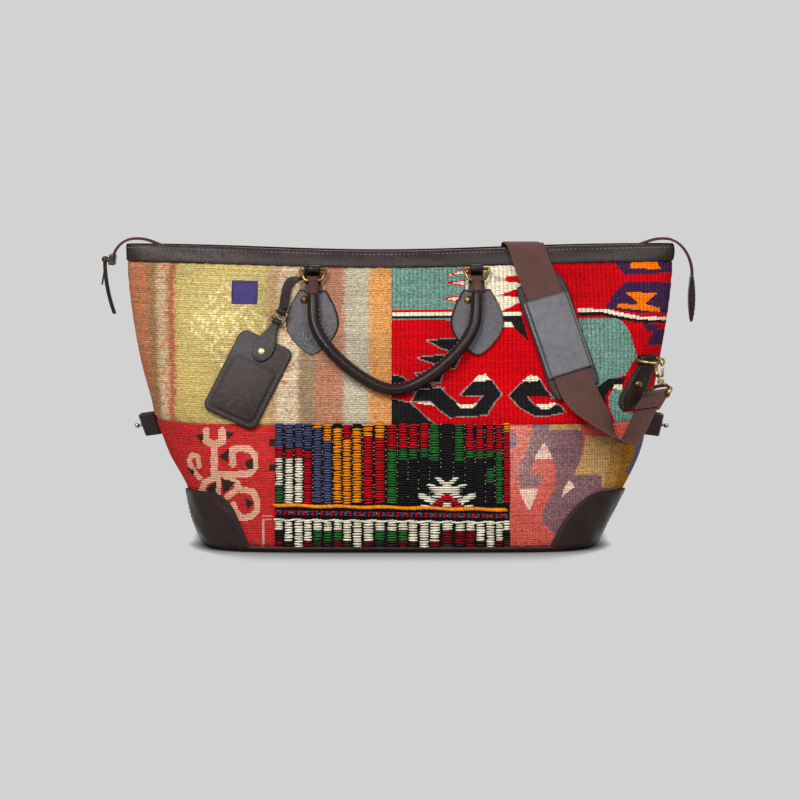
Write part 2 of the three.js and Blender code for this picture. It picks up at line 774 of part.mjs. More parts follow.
const tagHeight = bagHeight - tagDrop;
const tagFrame = frameOn(tagHeight, turnAt(tagHeight, tagX, front)).multiply(
  new THREE.Matrix4().makeRotationZ(-radians(tagLean)),
);
const buckleInner = buckleWire + 2 * fitGap;
const buckleOuter = buckleInner + 1.6;
const buckleStand = tagThick + fitGap;
const buckleY = tagTall / 2 + buckleRise;
const buckleEye = () => roll(buckleOuter, buckleInner, tagStrapWidth / 2 - 0.3);

function addTagStrap() {
  const eyeX = -(rollHalfWidth + fitGap + tagEyeHalf);
  const ring = ringFrame(front, -1);
  const eye = roll(rollOuter, rollInner, tagEyeHalf).translate(eyeX, 0, ringStand);
  const from = V(eyeX, -3.4, ringStand - rollOuter + 1).applyMatrix4(ring);
  const beside = V(eyeX - 4.4, -6, 2.4).applyMatrix4(ring);
  const under = V(eyeX - 15, -ringDepth, 2.6).applyMatrix4(ring);
  const to = V(0, buckleY + buckleOuter - 0.2, buckleStand).applyMatrix4(tagFrame);
  const curve = new THREE.CatmullRomCurve3([from, beside, under, to]);
  const path = curve.getPoints(9);
  const outwards = V(0, 0, 1).transformDirection(tagFrame);
  const half = (i) => lerp(tagEyeHalf, tagStrapWidth / 2, smooth(i, 3, 6));
  const section = (i) => {
    const [w, t] = [half(i), tagStrapThick / 2];
    return [[-w, -t], [w, -t], [w, t], [-w, t]];
  };
  const strip = sweep(path, outwards, section);
  const strap = join(
    strip,
    eye.applyMatrix4(ring),
    buckleEye().translate(0, buckleY, buckleStand).applyMatrix4(tagFrame),
  );
  add("tag_strap", strap, handleLeather);
}

function addTag() {
  const buckle = wireLoop(
    [[-buckleHalfWidth, 0], [buckleHalfWidth, 0], [buckleHalfWidth, -buckleDepth], [-buckleHalfWidth, -buckleDepth]],
    1.6,
    buckleWire,
  );
  add("tag_buckle", buckle.translate(0, buckleY, buckleStand).applyMatrix4(tagFrame), brass);
  const [w, h] = [tagWidth / 2, tagTall / 2];
  const outline = rounded(flat([[-w, -h], [w, -h], [w, h], [-w, h]]), tagCornerRadius, 3);
  const inset = 6;
  const window = rounded(
    flat([[-w + inset, -h + inset], [w - inset, -h + inset], [w - inset, h - 26], [-w + inset, h - 26]]),
    tagCornerRadius - 2,
    3,
  );
  const board = extruded(outline, tagThick - 1.4).translate(0, 0, fitGap + (tagThick - 1.4) / 2);
  const pocket = extruded(window, 1.6).translate(0, 0, fitGap + tagThick - 0.8);
  add("tag_card", join(board, pocket).applyMatrix4(tagFrame), handleLeather);
  addTagFlap(h);
}

// The flap lies on the card's head, narrows to the buckle's lower bar and carries the stud.
function addTagFlap(h) {
  const foot = h - tagFlapDrop;
  const lowerBar = buckleY - buckleDepth;
  const half = (y) =>
    y < h - 8
      ? tagFlapHalf * Math.sqrt(Math.max(1 - ((h - 10 - y) / (h - 10 - foot)) ** 2, 0.02))
      : lerp(tagFlapHalf, tagStrapWidth / 2 - 0.3, smooth(y, h - 8, lowerBar - 4));
  const bottom = fitGap + tagThick - 1.4 + fitGap;
  const head = lowerBar - buckleInner - 0.8;
  const flapThick = 1.9;
  const rise = (y) => lerp(bottom + (y < h - 25 ? 0.6 : 0), buckleStand - flapThick / 2, smooth(y, h, head));
  const point = (lift) => (u, v) => {
    const y = lerp(foot, head, v);
    return V((2 * u - 1) * half(y), y, rise(y) + lift);
  };
  const strip = slab(2, 6, point(flapThick), point(0));
  const eye = buckleEye().translate(0, lowerBar, buckleStand);
  const studY = foot + tagFlapHalf - 1;
  const stud = dome(tagStudRadius, 1.8).translate(0, studY, bottom + flapThick);
  add("tag_flap", join(strip, eye, stud).applyMatrix4(tagFrame), handleLeather);
}

// Loops on the ends

// A loop lies along the slanting skin but reaches out nearly level.
function sideLoopFrame(side) {
  const frame = frameOn(sideLoopHeight, side < 0 ? Math.PI : 0);
  const [across, up] = [V(1, 0, 0), V(0, 1, 0)].map((axis) => axis.transformDirection(frame));
  return new THREE.Matrix4().makeBasis(across, up, V(side, 0, -sideLoopDip).normalize()).copyPosition(frame);
}

function addSideLoops() {
  for (const [name, side] of [["left", -1], ["right", 1]]) {
    const frame = sideLoopFrame(side);
    const [half, wall] = [sideLoopHalf, sideLoopWall];
    const outer = flat([[-half, fitGap], [half, fitGap], [half - 1, sideLoopReach], [1 - half, sideLoopReach]]);
    const inner = flat([
      [-half + wall, fitGap + wall],
      [half - wall, fitGap + wall],
      [half - wall - 1, sideLoopReach - wall],
      [1 + wall - half, sideLoopReach - wall],
    ]);
    const shape = new THREE.Shape(rounded(outer, 3));
    shape.holes.push(new THREE.Path(rounded(inner, 2)));
    const loop = new THREE.ExtrudeGeometry(shape, { depth: sideLoopTall, bevelEnabled: false })
      .translate(0, 0, -sideLoopTall / 2)
      .rotateX(Math.PI / 2);
    add(`side_loop_${name}`, loop.applyMatrix4(frame), darkLeather);
    const stud = turned([
      [0, 0],
      [2 * studStem, 0],
      [studStem, 1],
      [studStem, studLength - studBall],
      [studBall, studLength],
      [0.7 * studBall, studLength + 0.7 * studBall],
      [0, studLength + studBall],
    ]);
    stud.translate(0, 0, sideLoopReach + fitGap);
    add(`side_stud_${name}`, stud.applyMatrix4(frame), brass);
  }
}

// Strap anchors

const chapeTop = bagHeight - chapeDrop;
const dRingHeight = chapeTop + dRingRise;
const anchorTurn = (z, face, side) => walk(z, cornerTurn(z, face, side), chapeShift);
const anchorFrame = (face, side) => frameOn(dRingHeight, anchorTurn(dRingHeight, face, side));
const dRingReach = V(
  0,
  -dRingDepth * Math.cos(radians(dRingTilt)),
  dRingStand + dRingDepth * Math.sin(radians(dRingTilt)),
);
const strapPull = V(-0.67, -0.74, 0).normalize();
const strapLoopHead = dRingReach.clone().add(V(0, -hookStem - fitGap - hookWire, 0));
const strapBar = strapLoopHead.clone().addScaledVector(strapPull, strapLoopRise);

function chape(face, side) {
  const middle = chapeTop - chapeTall / 2;
  const anchor = (z) => walk(z, anchorTurn(z, face, side), chapeLean * (z - middle));
  const half = (v) =>
    v < 0.4
      ? chapeHalfWidth * Math.sqrt(1 - (1 - Math.max(v, 0.02) / 0.4) ** 2)
      : lerp(chapeHalfWidth, chapeNeckHalf, ((v - 0.4) / 0.6) ** 1.4);
  const proud = fitGap + leatherThick;
  const patch = laid(anchor, chapeTop - chapeTall, chapeTop, half, 4, 6, fitGap, proud);
  const frame = anchorFrame(face, side);
  const neckThick = dRingStand - rollOuter + 0.5 - fitGap;
  const [neckHalf, neckShift] = [chapeNeckHalf - 1, (chapeLean * chapeTall) / 2];
  const neckOutline = flat([
    [-neckHalf, 1],
    [-neckHalf + neckShift, -dRingRise - 8],
    [neckHalf + neckShift - 2, -dRingRise - 8],
    [neckHalf, 1],
  ]);
  const neck = extruded(neckOutline, neckThick).translate(0, 0, fitGap + neckThick / 2);
  const barRoll = roll(rollOuter, rollInner, neckHalf).translate(0, 0, dRingStand);
  const rivetZ = chapeTop - chapeRivetDrop;
  const rivet = dome(rivetRadius, rivetProud).translate(0, 0, proud * 0.95);
  return join(
    patch,
    neck.applyMatrix4(frame),
    barRoll.applyMatrix4(frame),
    rivet.applyMatrix4(frameOn(rivetZ, anchor(rivetZ))),
  );
}

function dRing() {
  const [h, d] = [dRingHalf, dRingDepth];
  const corners = [[-h, 0], [h, 0], [h, -0.5 * d], [0.45 * h, -d], [-0.45 * h, -d], [-h, -0.5 * d]];
  return wireLoop(corners, 2.8, ringWire, 1)
    .rotateX(-radians(dRingTilt))
    .translate(0, 0, dRingStand);
}

// The snap hook hangs on the D-ring's bow, in the plane that stands out from the bag.
function hook() {
  const top = ringWire + hookWire + fitGap;
  const bend = [
    [0, -hookStem],
    [0, -0.75 * hookStem],
    [-0.82 * hookHalf, -0.55 * hookStem],
    [-hookHalf, -0.2 * hookStem],
    [-0.8 * hookHalf, 0.45 * top],
    [0, top],
    [0.8 * hookHalf, 0.45 * top],
    [hookHalf, -0.17 * hookStem],
  ];
  const path = bend.map(([z, y]) => V(0, y, z).add(dRingReach));
  const wire = sweep(path, V(1, 0, 0), () => polygon(6, hookWire));
  const collar = turned([[0, -2], [3.4, -2], [3.4, 2], [0, 2]]).rotateX(Math.PI / 2);
  return join(wire, collar.translate(0, -hookStem + 2, 0).translate(dRingReach.x, dRingReach.y, dRingReach.z));
}

const gateFoot = V(0, -0.69 * hookStem, hookWire + gateRadius + fitGap + 0.2).add(dRingReach);

function gate() {
  const head = V(0, -0.17 * hookStem - gateRadius - fitGap - 0.6, hookHalf - 0.2).add(dRingReach);
  return sweep([gateFoot, head], V(1, 0, 0), () => polygon(6, gateRadius));
}

// The wire loop below the hook that the webbing is sewn round; its bar stands out from the bag.
function strapLoop() {
  const bar = webWidth / 2 + hookWire + 1.6;
  const corner = (rise, reach) =>
    strapLoopHead.clone().addScaledVector(strapPull, rise).add(V(0, 0, reach));
  const shoulder = 0.55 * strapLoopRise;
  const corners = [
    corner(0, -strapLoopTop),
    corner(0, strapLoopTop),
    corner(shoulder, bar),
    corner(strapLoopRise, bar),
    corner(strapLoopRise, -bar),
    corner(shoulder, -bar),
  ];
  const plane = strapPull.clone().cross(V(0, 0, 1)).normalize();
  return sweep(rounded(corners, 2.2, 1), plane, () => polygon(6, hookWire), true);
}

// The webbing's sewn end: a fold round the loop's bar and a short doubled stretch.
function webEnd() {
  const inner = hookWire + rollClear;
  const fold = roll(inner + webThick, inner, webWidth / 2).rotateY(Math.PI / 2);
  fold.translate(strapBar.x, strapBar.y, strapBar.z);
  const side = V(0, 0, 1).cross(strapPull).normalize();
  const thick = webThick + 0.2;
  const point = (lift) => (u, v) =>
    strapBar
      .clone()
      .addScaledVector(strapPull, lerp(inner + 0.4 * webThick, inner + webThick + webEndLength, v))
      .add(V(0, 0, (u - 0.5) * webWidth))
      .addScaledVector(side, lift);
  return join(fold, slab(2, 1, point(thick), point(-thick)));
}

function addStrapAnchors() {
  for (const [name, face, side] of [["front", front, 1], ["back", back, -1]]) {
    const frame = anchorFrame(face, side);
    add(`strap_chape_${name}`, chape(face, side), darkLeather);
    add(`strap_ring_${name}`, dRing().applyMatrix4(frame), brass);
    add(`snap_hook_${name}`, hook().applyMatrix4(frame), brass);
    add(`hook_gate_${name}`, gate().applyMatrix4(frame), brass);
    add(`strap_loop_${name}`, strapLoop().applyMatrix4(frame), brass);
    add(`strap_end_${name}`, webEnd().applyMatrix4(frame), webbing);
  }
}

// Shoulder strap

// Where the webbing leaves its sewn end, a little further along it, and its width direction there.
function webStart(face, side) {
  const frame = anchorFrame(face, side);
  const reach = hookWire + rollClear + webThick + webEndLength + 2 * fitGap;
  const along = (distance) => strapBar.clone().addScaledVector(strapPull, distance).applyMatrix4(frame);
  const across = V(0, 0, face).transformDirection(frame);
  return [reach, reach + 5].map((distance) => ({ point: along(distance), across }));
}

const padHeight = bagHeight - padDrop;

// The webbing's route from the front right anchor over the mouth to the back left anchor.
// A stop on the bag has a face, an x, a height, a stand-off and its width direction in the skin's own frame;
// a hang has its place as shares of the bag's half length and height. The strap lies flat on the bag where
// it can and turns on edge at the bottom of each hang.
function webStops() {
  const stop = (face, x, z, stand, across) => {
    const frame = frameOn(z, turnAt(z, x, face));
    return { point: V(0, 0, stand).applyMatrix4(frame), across: V(...across).transformDirection(frame) };
  };
  const hang = (face, across, rise, ...rest) => {
    const z = rise * bagHeight;
    return stop(face, across * halfLength(z, across), z, ...rest);
  };
  const edge = webWidth / 2 + 3 * fitGap + floatRidge;
  const flatStand = webThick / 2 + 2 * fitGap;
  const onPad = flatStand + padThick + 6 * fitGap;
  const lie = [0.955, 0.295, 0];
  const mouth = topHalfDepth + bandProud + webThick;
  const over = bagHeight + webThick;
  return [
    ...webStart(front, 1),
    hang(front, 0.872, 0.347, edge, [0, 0.1, -1]),
    hang(front, 0.7879, 0.4089, 0.85 * edge, [0.62, 0.35, -0.7]),
    hang(front, 0.7329, 0.4639, 0.5 * edge, [0.88, 0.36, -0.3]),
    stop(front, padX + 19, padHeight - 54, onPad, lie),
    stop(front, padX, padHeight, onPad, lie),
    stop(front, padX - 13, padHeight + 39, onPad, lie),
    stop(front, crossX + 9, bagHeight - 21, onPad + bandProud, [0.98, 0.2, 0]),
    { point: V(crossX + 4, -mouth - 3, bagHeight - 4), across: V(0.99, 0.1, 0.1) },
    { point: V(crossX + 2, 2 - mouth, over), across: V(1, 0.1, 0) },
    { point: V(crossX, 0, over + 1), across: V(1, 0.05, 0) },
    { point: V(crossX - 1, mouth - 2, over), across: V(1, 0, 0) },
    { point: V(crossX - 2, mouth + 3, bagHeight - 4), across: V(1, 0, 0) },
    stop(back, crossX, bagHeight - 26, flatStand + bandProud + 2, [-1, 0, 0]),
    hang(back, 0.4637, 0.756, flatStand + 1, [-1, 0, 0]),
    hang(back, 0.4782, 0.5842, flatStand + 4, [-0.98, 0, 0.15]),
    hang(back, 0.4639, 0.4124, 0.7 * edge, [-0.75, 0.1, 0.65]),
    hang(back, 0.3602, 0.2612, edge, [-0.25, 0.1, 0.95]),
    hang(back, 0.1294, 0.1856, edge, [0, 0, 1]),
    hang(back, -0.2146, 0.1787, edge, [0, 0, 1]),
    hang(back, -0.5619, 0.2268, edge, [0, 0, 1]),
    hang(back, -0.8072, 0.3093, edge, [0.2, -0.05, 0.97]),
    ...webStart(back, -1).reverse(),
  ];
}

function addStrap() {
  const stops = webStops();
  const line = new THREE.CatmullRomCurve3(stops.map((s) => s.point), false, "centripetal");
  const turn = new THREE.CatmullRomCurve3(stops.map((s) => s.across), false, "centripetal");
  const station = (t) => {
    const along = line.getTangent(t);
    const across = turn.getPoint(t);
    across.addScaledVector(along, -across.dot(along)).normalize();
    return { point: line.getPoint(t), across, out: across.clone().cross(along).normalize() };
  };
  const ribbon = (from, to, steps, columns) => {
    const stations = Array.from({ length: steps + 1 }, (_, i) => station(lerp(from, to, i / steps)));
    return (u, v) => {
      const s = stations[Math.round(v * steps)];
      const [side, lift] = columns(u, v);
      return s.point.clone().addScaledVector(s.across, side).addScaledVector(s.out, lift);
    };
  };
  const steps = 2 * (stops.length - 1);
  const face = (lift) => ribbon(0, 1, steps, (u) => [(u - 0.5) * webWidth, lift]);
  add("strap_webbing", slab(2, steps, face(webThick / 2), face(-webThick / 2)), webbing);
  addPad(line, ribbon);
}

// The pad is a leather shape under the webbing with a sleeve over it, so the webbing runs between them.
function addPad(line, ribbon) {
  const whole = line.getLength();
  const target = onFace(front, padX, padHeight, webThick);
  const fine = 200;
  const shares = Array.from({ length: fine }, (_, k) => k / fine);
  const gap = (share) => line.getPointAt(share).distanceTo(target);
  const middle = shares.reduce((best, share) => (gap(share) < gap(best) ? share : best));
  const span = (length) => [-1, 1].map((end) => line.getUtoTmapping(middle + (end * length) / 2 / whole));
  const top = -webThick / 2 - 2 * fitGap;
  const half = (v) => (padWidth / 2) * (1 - 0.07 * Math.sin(Math.PI * v) - 0.16 * Math.abs(2 * v - 1) ** 8);
  const face = (lift) => ribbon(...span(padLength), 10, (u, v) => [(2 * u - 1) * half(v), lift]);
  add("strap_pad", slab(2, 10, face(top), face(top - padThick)), handleLeather);
  const [low, high] = [top + 2 * fitGap, webThick / 2 + 2 * fitGap];
  const clear = webWidth / 2 + 2 * fitGap;
  const rim = clear + padSleeveThick + padFlange;
  const under = [[rim, low], [clear + 0.3, low], [clear, high]];
  const over = [[rim, low], [clear + padSleeveThick, low], [clear + padSleeveThick - 0.6, high]];
  const arch = (half3, lift) => (u) => {
    const column = Math.round(u * 5);
    const [side, rise] = half3[Math.min(column, 5 - column)];
    return [column < 3 ? -side : side, rise + lift];
  };
  const sleeve = (half3, lift) => ribbon(...span(padSleeveLength), 8, arch(half3, lift));
  add("strap_sleeve", slab(5, 8, sleeve(over, padSleeveThick), sleeve(under, 0)), darkLeather);
}

addBase();
addKilim();
addLining();
addCorners();
addBands();
addLabel();
addZip();
addZipEndTab();
addSlider();
addHandles();
addTagStrap();
addTag();
addSideLoops();
addStrapAnchors();
addStrap();

export default bag;
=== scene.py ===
# %% [markdown]
# A weekender bag of patchwork kilim with dark leather trim.
# The solids of the bag come from the CAD frame. They set where every piece is and how it moves.
# This lesson dresses them: woven cloth, float yarn, leather with stitches, and aged brass.

# %% Load the frame
import math

import bmesh
import bpy
import numpy as np
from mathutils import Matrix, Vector


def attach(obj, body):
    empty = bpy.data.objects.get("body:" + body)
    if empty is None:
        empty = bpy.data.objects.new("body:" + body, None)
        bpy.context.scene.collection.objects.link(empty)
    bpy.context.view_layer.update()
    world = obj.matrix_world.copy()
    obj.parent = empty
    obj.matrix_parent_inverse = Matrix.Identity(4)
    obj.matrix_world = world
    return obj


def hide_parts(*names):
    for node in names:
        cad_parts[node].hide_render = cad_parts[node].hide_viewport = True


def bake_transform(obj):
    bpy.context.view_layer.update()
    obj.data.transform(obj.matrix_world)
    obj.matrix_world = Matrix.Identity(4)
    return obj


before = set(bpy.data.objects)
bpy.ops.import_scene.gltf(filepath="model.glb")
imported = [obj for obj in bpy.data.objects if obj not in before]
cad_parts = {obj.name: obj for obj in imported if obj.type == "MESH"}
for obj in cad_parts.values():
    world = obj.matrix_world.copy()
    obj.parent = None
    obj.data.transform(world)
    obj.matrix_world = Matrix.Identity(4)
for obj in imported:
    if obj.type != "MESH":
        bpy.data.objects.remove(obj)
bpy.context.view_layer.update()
scene = bpy.context.scene
scene.view_settings.view_transform = "Standard"
MM = 0.001

# %% [markdown]
# The sky, the finishes and the trees that repeat small shapes are all built from nodes.
# One helper adds a node, sets its own values, and feeds its inputs with numbers or with the outputs of other nodes.

# %% Adding nodes


def feed(tree, node, inputs):
    """Give each input a number, a colour or the output of another node."""
    for key, value in inputs.items():
        if isinstance(value, bpy.types.NodeSocket):
            tree.links.new(value, node.inputs[key])
        else:
            node.inputs[key].default_value = value


def add_node(tree, kind, inputs=None, **settings):
    node = tree.nodes.new(kind)
    for key, value in settings.items():
        setattr(node, key, value)
    feed(tree, node, inputs or {})
    return node


def maths(tree, operation, *values):
    return add_node(tree, "ShaderNodeMath", dict(enumerate(values)), operation=operation).outputs["Value"]


print("node tools ready")

# %% [markdown]
# The bag stands on a wide pale floor in soft studio light.
# The camera is far away with a long lens, a little above the floor, so the bag keeps its true proportions.
# The floor and the sky show the camera one and the same grey, so there is no horizon line.
# Close to the bag the grey is darkened by how much of the sky the bag hides, which is its shadow.
# It reaches less far at the ends, where the body leans out over the floor.

# %% Camera, floor and lamps
CAMERA_REACH = 2.5
CAMERA_RISE = math.radians(7.0)
AIM = Vector((0.0, 0.0, 0.134))
LENS = 112.5
LAMP_AIM = Vector((0.0, 0.0, 0.12))
LAMPS = {  # place, size and power
    "key": ((-0.9, -1.9, 2.0), 1.2, 50.0),
    "fill": ((1.0, -1.9, 1.8), 0.9, 20.0),
    "rim": ((0.2, 1.6, 1.9), 1.4, 18.0),
}
BACKGROUND_GREY = 0.645
SHADOW_REACH, SHADOW_AT_ENDS = 0.058, 0.014
ENDS_FROM, ENDS_TO = 0.13, 0.2
FLOOR_RADIUS, FLOOR_SIDES = 6.0, 64


def set_up(name, data, place, target):
    """Put a camera or a lamp somewhere, looking at a target."""
    obj = bpy.data.objects.new(name, data)
    obj.location = place
    obj.rotation_euler = (target - obj.location).to_track_quat("-Z", "Y").to_euler()
    scene.collection.objects.link(obj)
    return obj


view = bpy.data.cameras.new("camera")
view.lens, view.sensor_width = LENS, 36.0
camera_place = AIM + CAMERA_REACH * Vector((0.0, -math.cos(CAMERA_RISE), math.sin(CAMERA_RISE)))
scene.camera = set_up("camera", view, camera_place, AIM)
for name, (place, size, power) in LAMPS.items():
    light = bpy.data.lights.new(name, "AREA")
    light.shape, light.size, light.energy = "DISK", size, power
    set_up(name, light, place, LAMP_AIM)


def shown_or_lit(tree, shown, lit, output):
    """Show one shader to the camera, in mirrors and through clear things, and light the bag with another."""
    ray = tree.nodes.new("ShaderNodeLightPath").outputs
    seen = maths(tree, "MAXIMUM", ray["Is Camera Ray"], ray["Is Glossy Ray"])
    seen = maths(tree, "MAXIMUM", seen, ray["Is Transmission Ray"])
    mix = add_node(tree, "ShaderNodeMixShader", {"Fac": seen, 1: lit, 2: shown})
    tree.links.new(mix.outputs["Shader"], tree.nodes[output].inputs["Surface"])


world = bpy.data.worlds.new("studio")
world.use_nodes = True
heaven = world.node_tree
sky = heaven.nodes["Background"]
feed(heaven, sky, {"Color": (0.95, 0.97, 1.0, 1.0), "Strength": 0.5})
wall = add_node(heaven, "ShaderNodeBackground", {"Color": (1.0, 1.0, 1.0, 1.0), "Strength": BACKGROUND_GREY})
shown_or_lit(heaven, wall.outputs["Background"], sky.outputs["Background"], "World Output")
scene.world = world

floor_paper = bpy.data.materials.new("floor_paper")
floor_paper.use_nodes = True
paper = floor_paper.node_tree
matt = paper.nodes["Principled BSDF"]
feed(paper, matt, {"Base Color": (0.6, 0.6, 0.6, 1.0), "Roughness": 0.95})
spot = add_node(paper, "ShaderNodeSeparateXYZ", {"Vector": paper.nodes.new("ShaderNodeTexCoord").outputs["Object"]})
reach = add_node(paper, "ShaderNodeMapRange", {
    "Value": maths(paper, "ABSOLUTE", spot.outputs["X"]), "From Min": ENDS_FROM, "From Max": ENDS_TO,
    "To Min": SHADOW_REACH, "To Max": SHADOW_AT_ENDS}, interpolation_type="SMOOTHSTEP")
open_sky = add_node(paper, "ShaderNodeAmbientOcclusion", {"Distance": reach.outputs["Result"]})
grey = maths(paper, "MULTIPLY", maths(paper, "POWER", open_sky.outputs["AO"], 2.0), BACKGROUND_GREY)
glow = add_node(paper, "ShaderNodeEmission", {"Strength": grey})
shown_or_lit(paper, glow.outputs["Emission"], matt.outputs["BSDF"], "Material Output")

floor_mesh = bpy.data.meshes.new("floor")
rim = np.linspace(0.0, 2.0 * math.pi, FLOOR_SIDES, endpoint=False)
floor_mesh.from_pydata([(FLOOR_RADIUS * math.cos(t), FLOOR_RADIUS * math.sin(t), 0.0) for t in rim], [],
                       [list(range(FLOOR_SIDES))])
floor_mesh.materials.append(floor_paper)
floor = bpy.data.objects.new("floor", floor_mesh)
scene.collection.objects.link(floor)
print("camera", CAMERA_REACH, "m away, lens", LENS, "mm,", len(LAMPS), "lamps")

# %% [markdown]
# The bag's skin is one formula. At every height the outline is a rounded box, and it closes to a flat mouth.
# A point on it has a height and a turn round the bag, and may stand proud of the cloth.
# Every panel, tab and patch is laid on this skin, so nothing floats and nothing sinks in.

# %% The skin
BAG_HEIGHT = 291.0
FRONT, BACK = -1.0, 1.0
FACES = (("front", FRONT), ("back", BACK))
SIDES = (("left", -1), ("right", 1))
FIT = 0.3
FOOT_HALF, FLARE, FLARE_CURVE = 190.5, 80.5, 1.9
MOUTH_DEPTH, BELLY, BELLY_CURVE = 14.0, 98.0, 1.7
LEFT_DENT, RIGHT_SWELL = (-7.5, 57.0, 24.0), (5.5, 85.0, 40.0)
SQUARE_MOUTH, SQUARE_FOOT = 3.2, 2.8
SAG, SAG_MIDDLE, SAG_REACH = 7.0, -20.0, 160.0
TURN_STEP = 0.002


def unit(v):
    v = np.asarray(v, float)
    return v / np.linalg.norm(v, axis=-1, keepdims=True)


def smooth(x, low, high):
    """0 below low, 1 above high, and an S-shaped slope between them."""
    t = np.clip((np.asarray(x, float) - low) / (high - low), 0.0, 1.0)
    return t * t * (3.0 - 2.0 * t)


def bell(x, middle, reach):
    """1 at the middle, and fading to 0 on both sides."""
    return np.exp(-(((x - middle) / reach) ** 2))


def run_along(line):
    """How far along a line of points each point is."""
    return np.concatenate([[0.0], np.cumsum(np.linalg.norm(np.diff(line, axis=0), axis=1))])


def read_at(marks, lengths, values):
    """Vectors kept at known lengths, read at other ones."""
    return np.stack([np.interp(marks, lengths, values[:, k]) for k in range(3)], -1)


def half_length(z, side):
    rise = np.clip(z / BAG_HEIGHT, 0.0, 1.0)
    straight = FOOT_HALF + FLARE * (1.0 - (1.0 - rise) ** FLARE_CURVE)
    dent, swell = (depth * bell(z, middle, reach) for depth, middle, reach in (LEFT_DENT, RIGHT_SWELL))
    return straight + np.where(side < 0, dent, swell)


def half_depth(z):
    return MOUTH_DEPTH + BELLY * (1.0 - np.clip(z / BAG_HEIGHT, 0.0, None) ** BELLY_CURVE)


def squareness(z):
    return SQUARE_MOUTH + SQUARE_FOOT * (1.0 - z / BAG_HEIGHT) ** 2


def sag(x, z):
    return SAG * bell(x, SAG_MIDDLE, SAG_REACH) * (z / BAG_HEIGHT) ** 3


def skin(z, turn, proud=0.0):
    """Points at heights z and turns round the bag, standing proud of the cloth."""
    z, turn, proud = np.broadcast_arrays(np.asarray(z, float), turn, proud)
    c, s, n = np.cos(turn), np.sin(turn), squareness(z)
    reach = (np.abs(c) ** n + np.abs(s) ** n) ** (-1.0 / n)
    x = (half_length(z, c) + proud) * reach * c
    y = (half_depth(z) + proud) * reach * s
    return np.stack([x, y, z - sag(x, z)], -1)


def turn_at(z, x, face):
    """The turn at which a face of the bag has this x."""
    share = np.clip(x / half_length(z, x), -1.0, 1.0)
    n = squareness(z)
    return np.arctan2(face * (1.0 - np.abs(share) ** n) ** (1.0 / n), share)


def corner_turn(z, face, side):
    """The turn of a corner, where the outline runs slantwise."""
    slope = (half_length(z, side) / half_depth(z)) ** (1.0 / (squareness(z) - 1.0))
    turn = np.arctan2(1.0, slope)
    return face * (turn if side > 0 else math.pi - turn)


def onward(z, turn):
    return skin(z, turn + TURN_STEP) - skin(z, turn - TURN_STEP)


def upward(z, turn):
    return skin(z + 1.0, turn) - skin(z - 1.0, turn)


def walk(z, turn, distance, steps=12):
    """The turn that is a distance further round the bag."""
    for _ in range(steps):
        speed = np.linalg.norm(onward(z, turn), axis=-1) / (2.0 * TURN_STEP)
        turn = turn + distance / steps / speed
    return turn


def spread(z, start, stop, count):
    """Turns that are evenly spaced along the cloth."""
    turns = np.linspace(start, stop, 193)
    lengths = run_along(skin(z, turns))
    return np.interp(np.linspace(0.0, lengths[-1], count + 1), lengths, turns)


def basis(right, up, out, place=(0, 0, 0)):
    matrix = np.eye(4)
    matrix[:3, 0], matrix[:3, 1], matrix[:3, 2], matrix[:3, 3] = right, up, out, place
    return matrix


def shift(x=0.0, y=0.0, z=0.0):
    return basis((1, 0, 0), (0, 1, 0), (0, 0, 1), (x, y, z))


def frame_on(z, turn):
    """A frame on the skin: to the right, up the cloth and out of it."""
    right = unit(onward(z, turn))
    up = upward(z, turn)
    up = unit(up - right * np.dot(up, right))
    return basis(right, up, np.cross(right, up), skin(z, turn))


def put(matrix, points):
    return np.asarray(points, float) @ matrix[:3, :3].T + matrix[:3, 3]


def aim(matrix, vector):
    return unit(matrix[:3, :3] @ np.asarray(vector, float))


print("mouth", round(2 * float(half_length(BAG_HEIGHT, 1.0))), "mm long")

# %% [markdown]
# Four small tools make nearly every mesh: a sheet with thickness, a row of rings, a bar swept along a path
# and a turned knob. Each returns its points, its faces and a number for each face that picks the finish.
# A piece is then one mesh made of several of these, with its faces turned outwards.

# %% Mesh tools


def sheet(outer, inner):
    """A grid of points and a second one under it, closed all round."""
    rows, columns = outer.shape[:2]
    points = np.concatenate([outer.reshape(-1, 3), inner.reshape(-1, 3)])
    index = np.arange(rows * columns).reshape(rows, columns)
    under = index + rows * columns
    a, b, c, d = index[:-1, :-1], index[:-1, 1:], index[1:, 1:], index[1:, :-1]
    faces = [np.stack([a, b, c, d], -1).reshape(-1, 4)]
    faces.append((np.stack([a, d, c, b], -1) + rows * columns).reshape(-1, 4))
    rims = [(index[0], under[0]), (under[-1], index[-1]), (under[:, 0], index[:, 0]), (index[:, -1], under[:, -1])]
    walls = [np.stack([i[:-1], j[:-1], j[1:], i[1:]], -1) for i, j in rims]
    count = [len(faces[0]), len(faces[1]), sum(len(w) for w in walls)]
    return points, np.concatenate(faces + walls).tolist(), np.repeat([0, 0, 1], count)


def rings_solid(rings, endless=False):
    """Rings of points joined one to the next, with two lids or closed on itself."""
    rings = np.asarray(rings, float)
    count, sides = rings.shape[:2]
    index = np.arange(count * sides).reshape(count, sides)
    below = index if endless else index[:-1]
    above = np.roll(index, -1, axis=0)[: len(below)]
    faces = np.stack([below, np.roll(below, -1, 1), np.roll(above, -1, 1), above], -1).reshape(-1, 4).tolist()
    if not endless:
        faces += [index[0][::-1].tolist(), index[-1].tolist()]
    return rings.reshape(-1, 3), faces, np.zeros(len(faces), int)


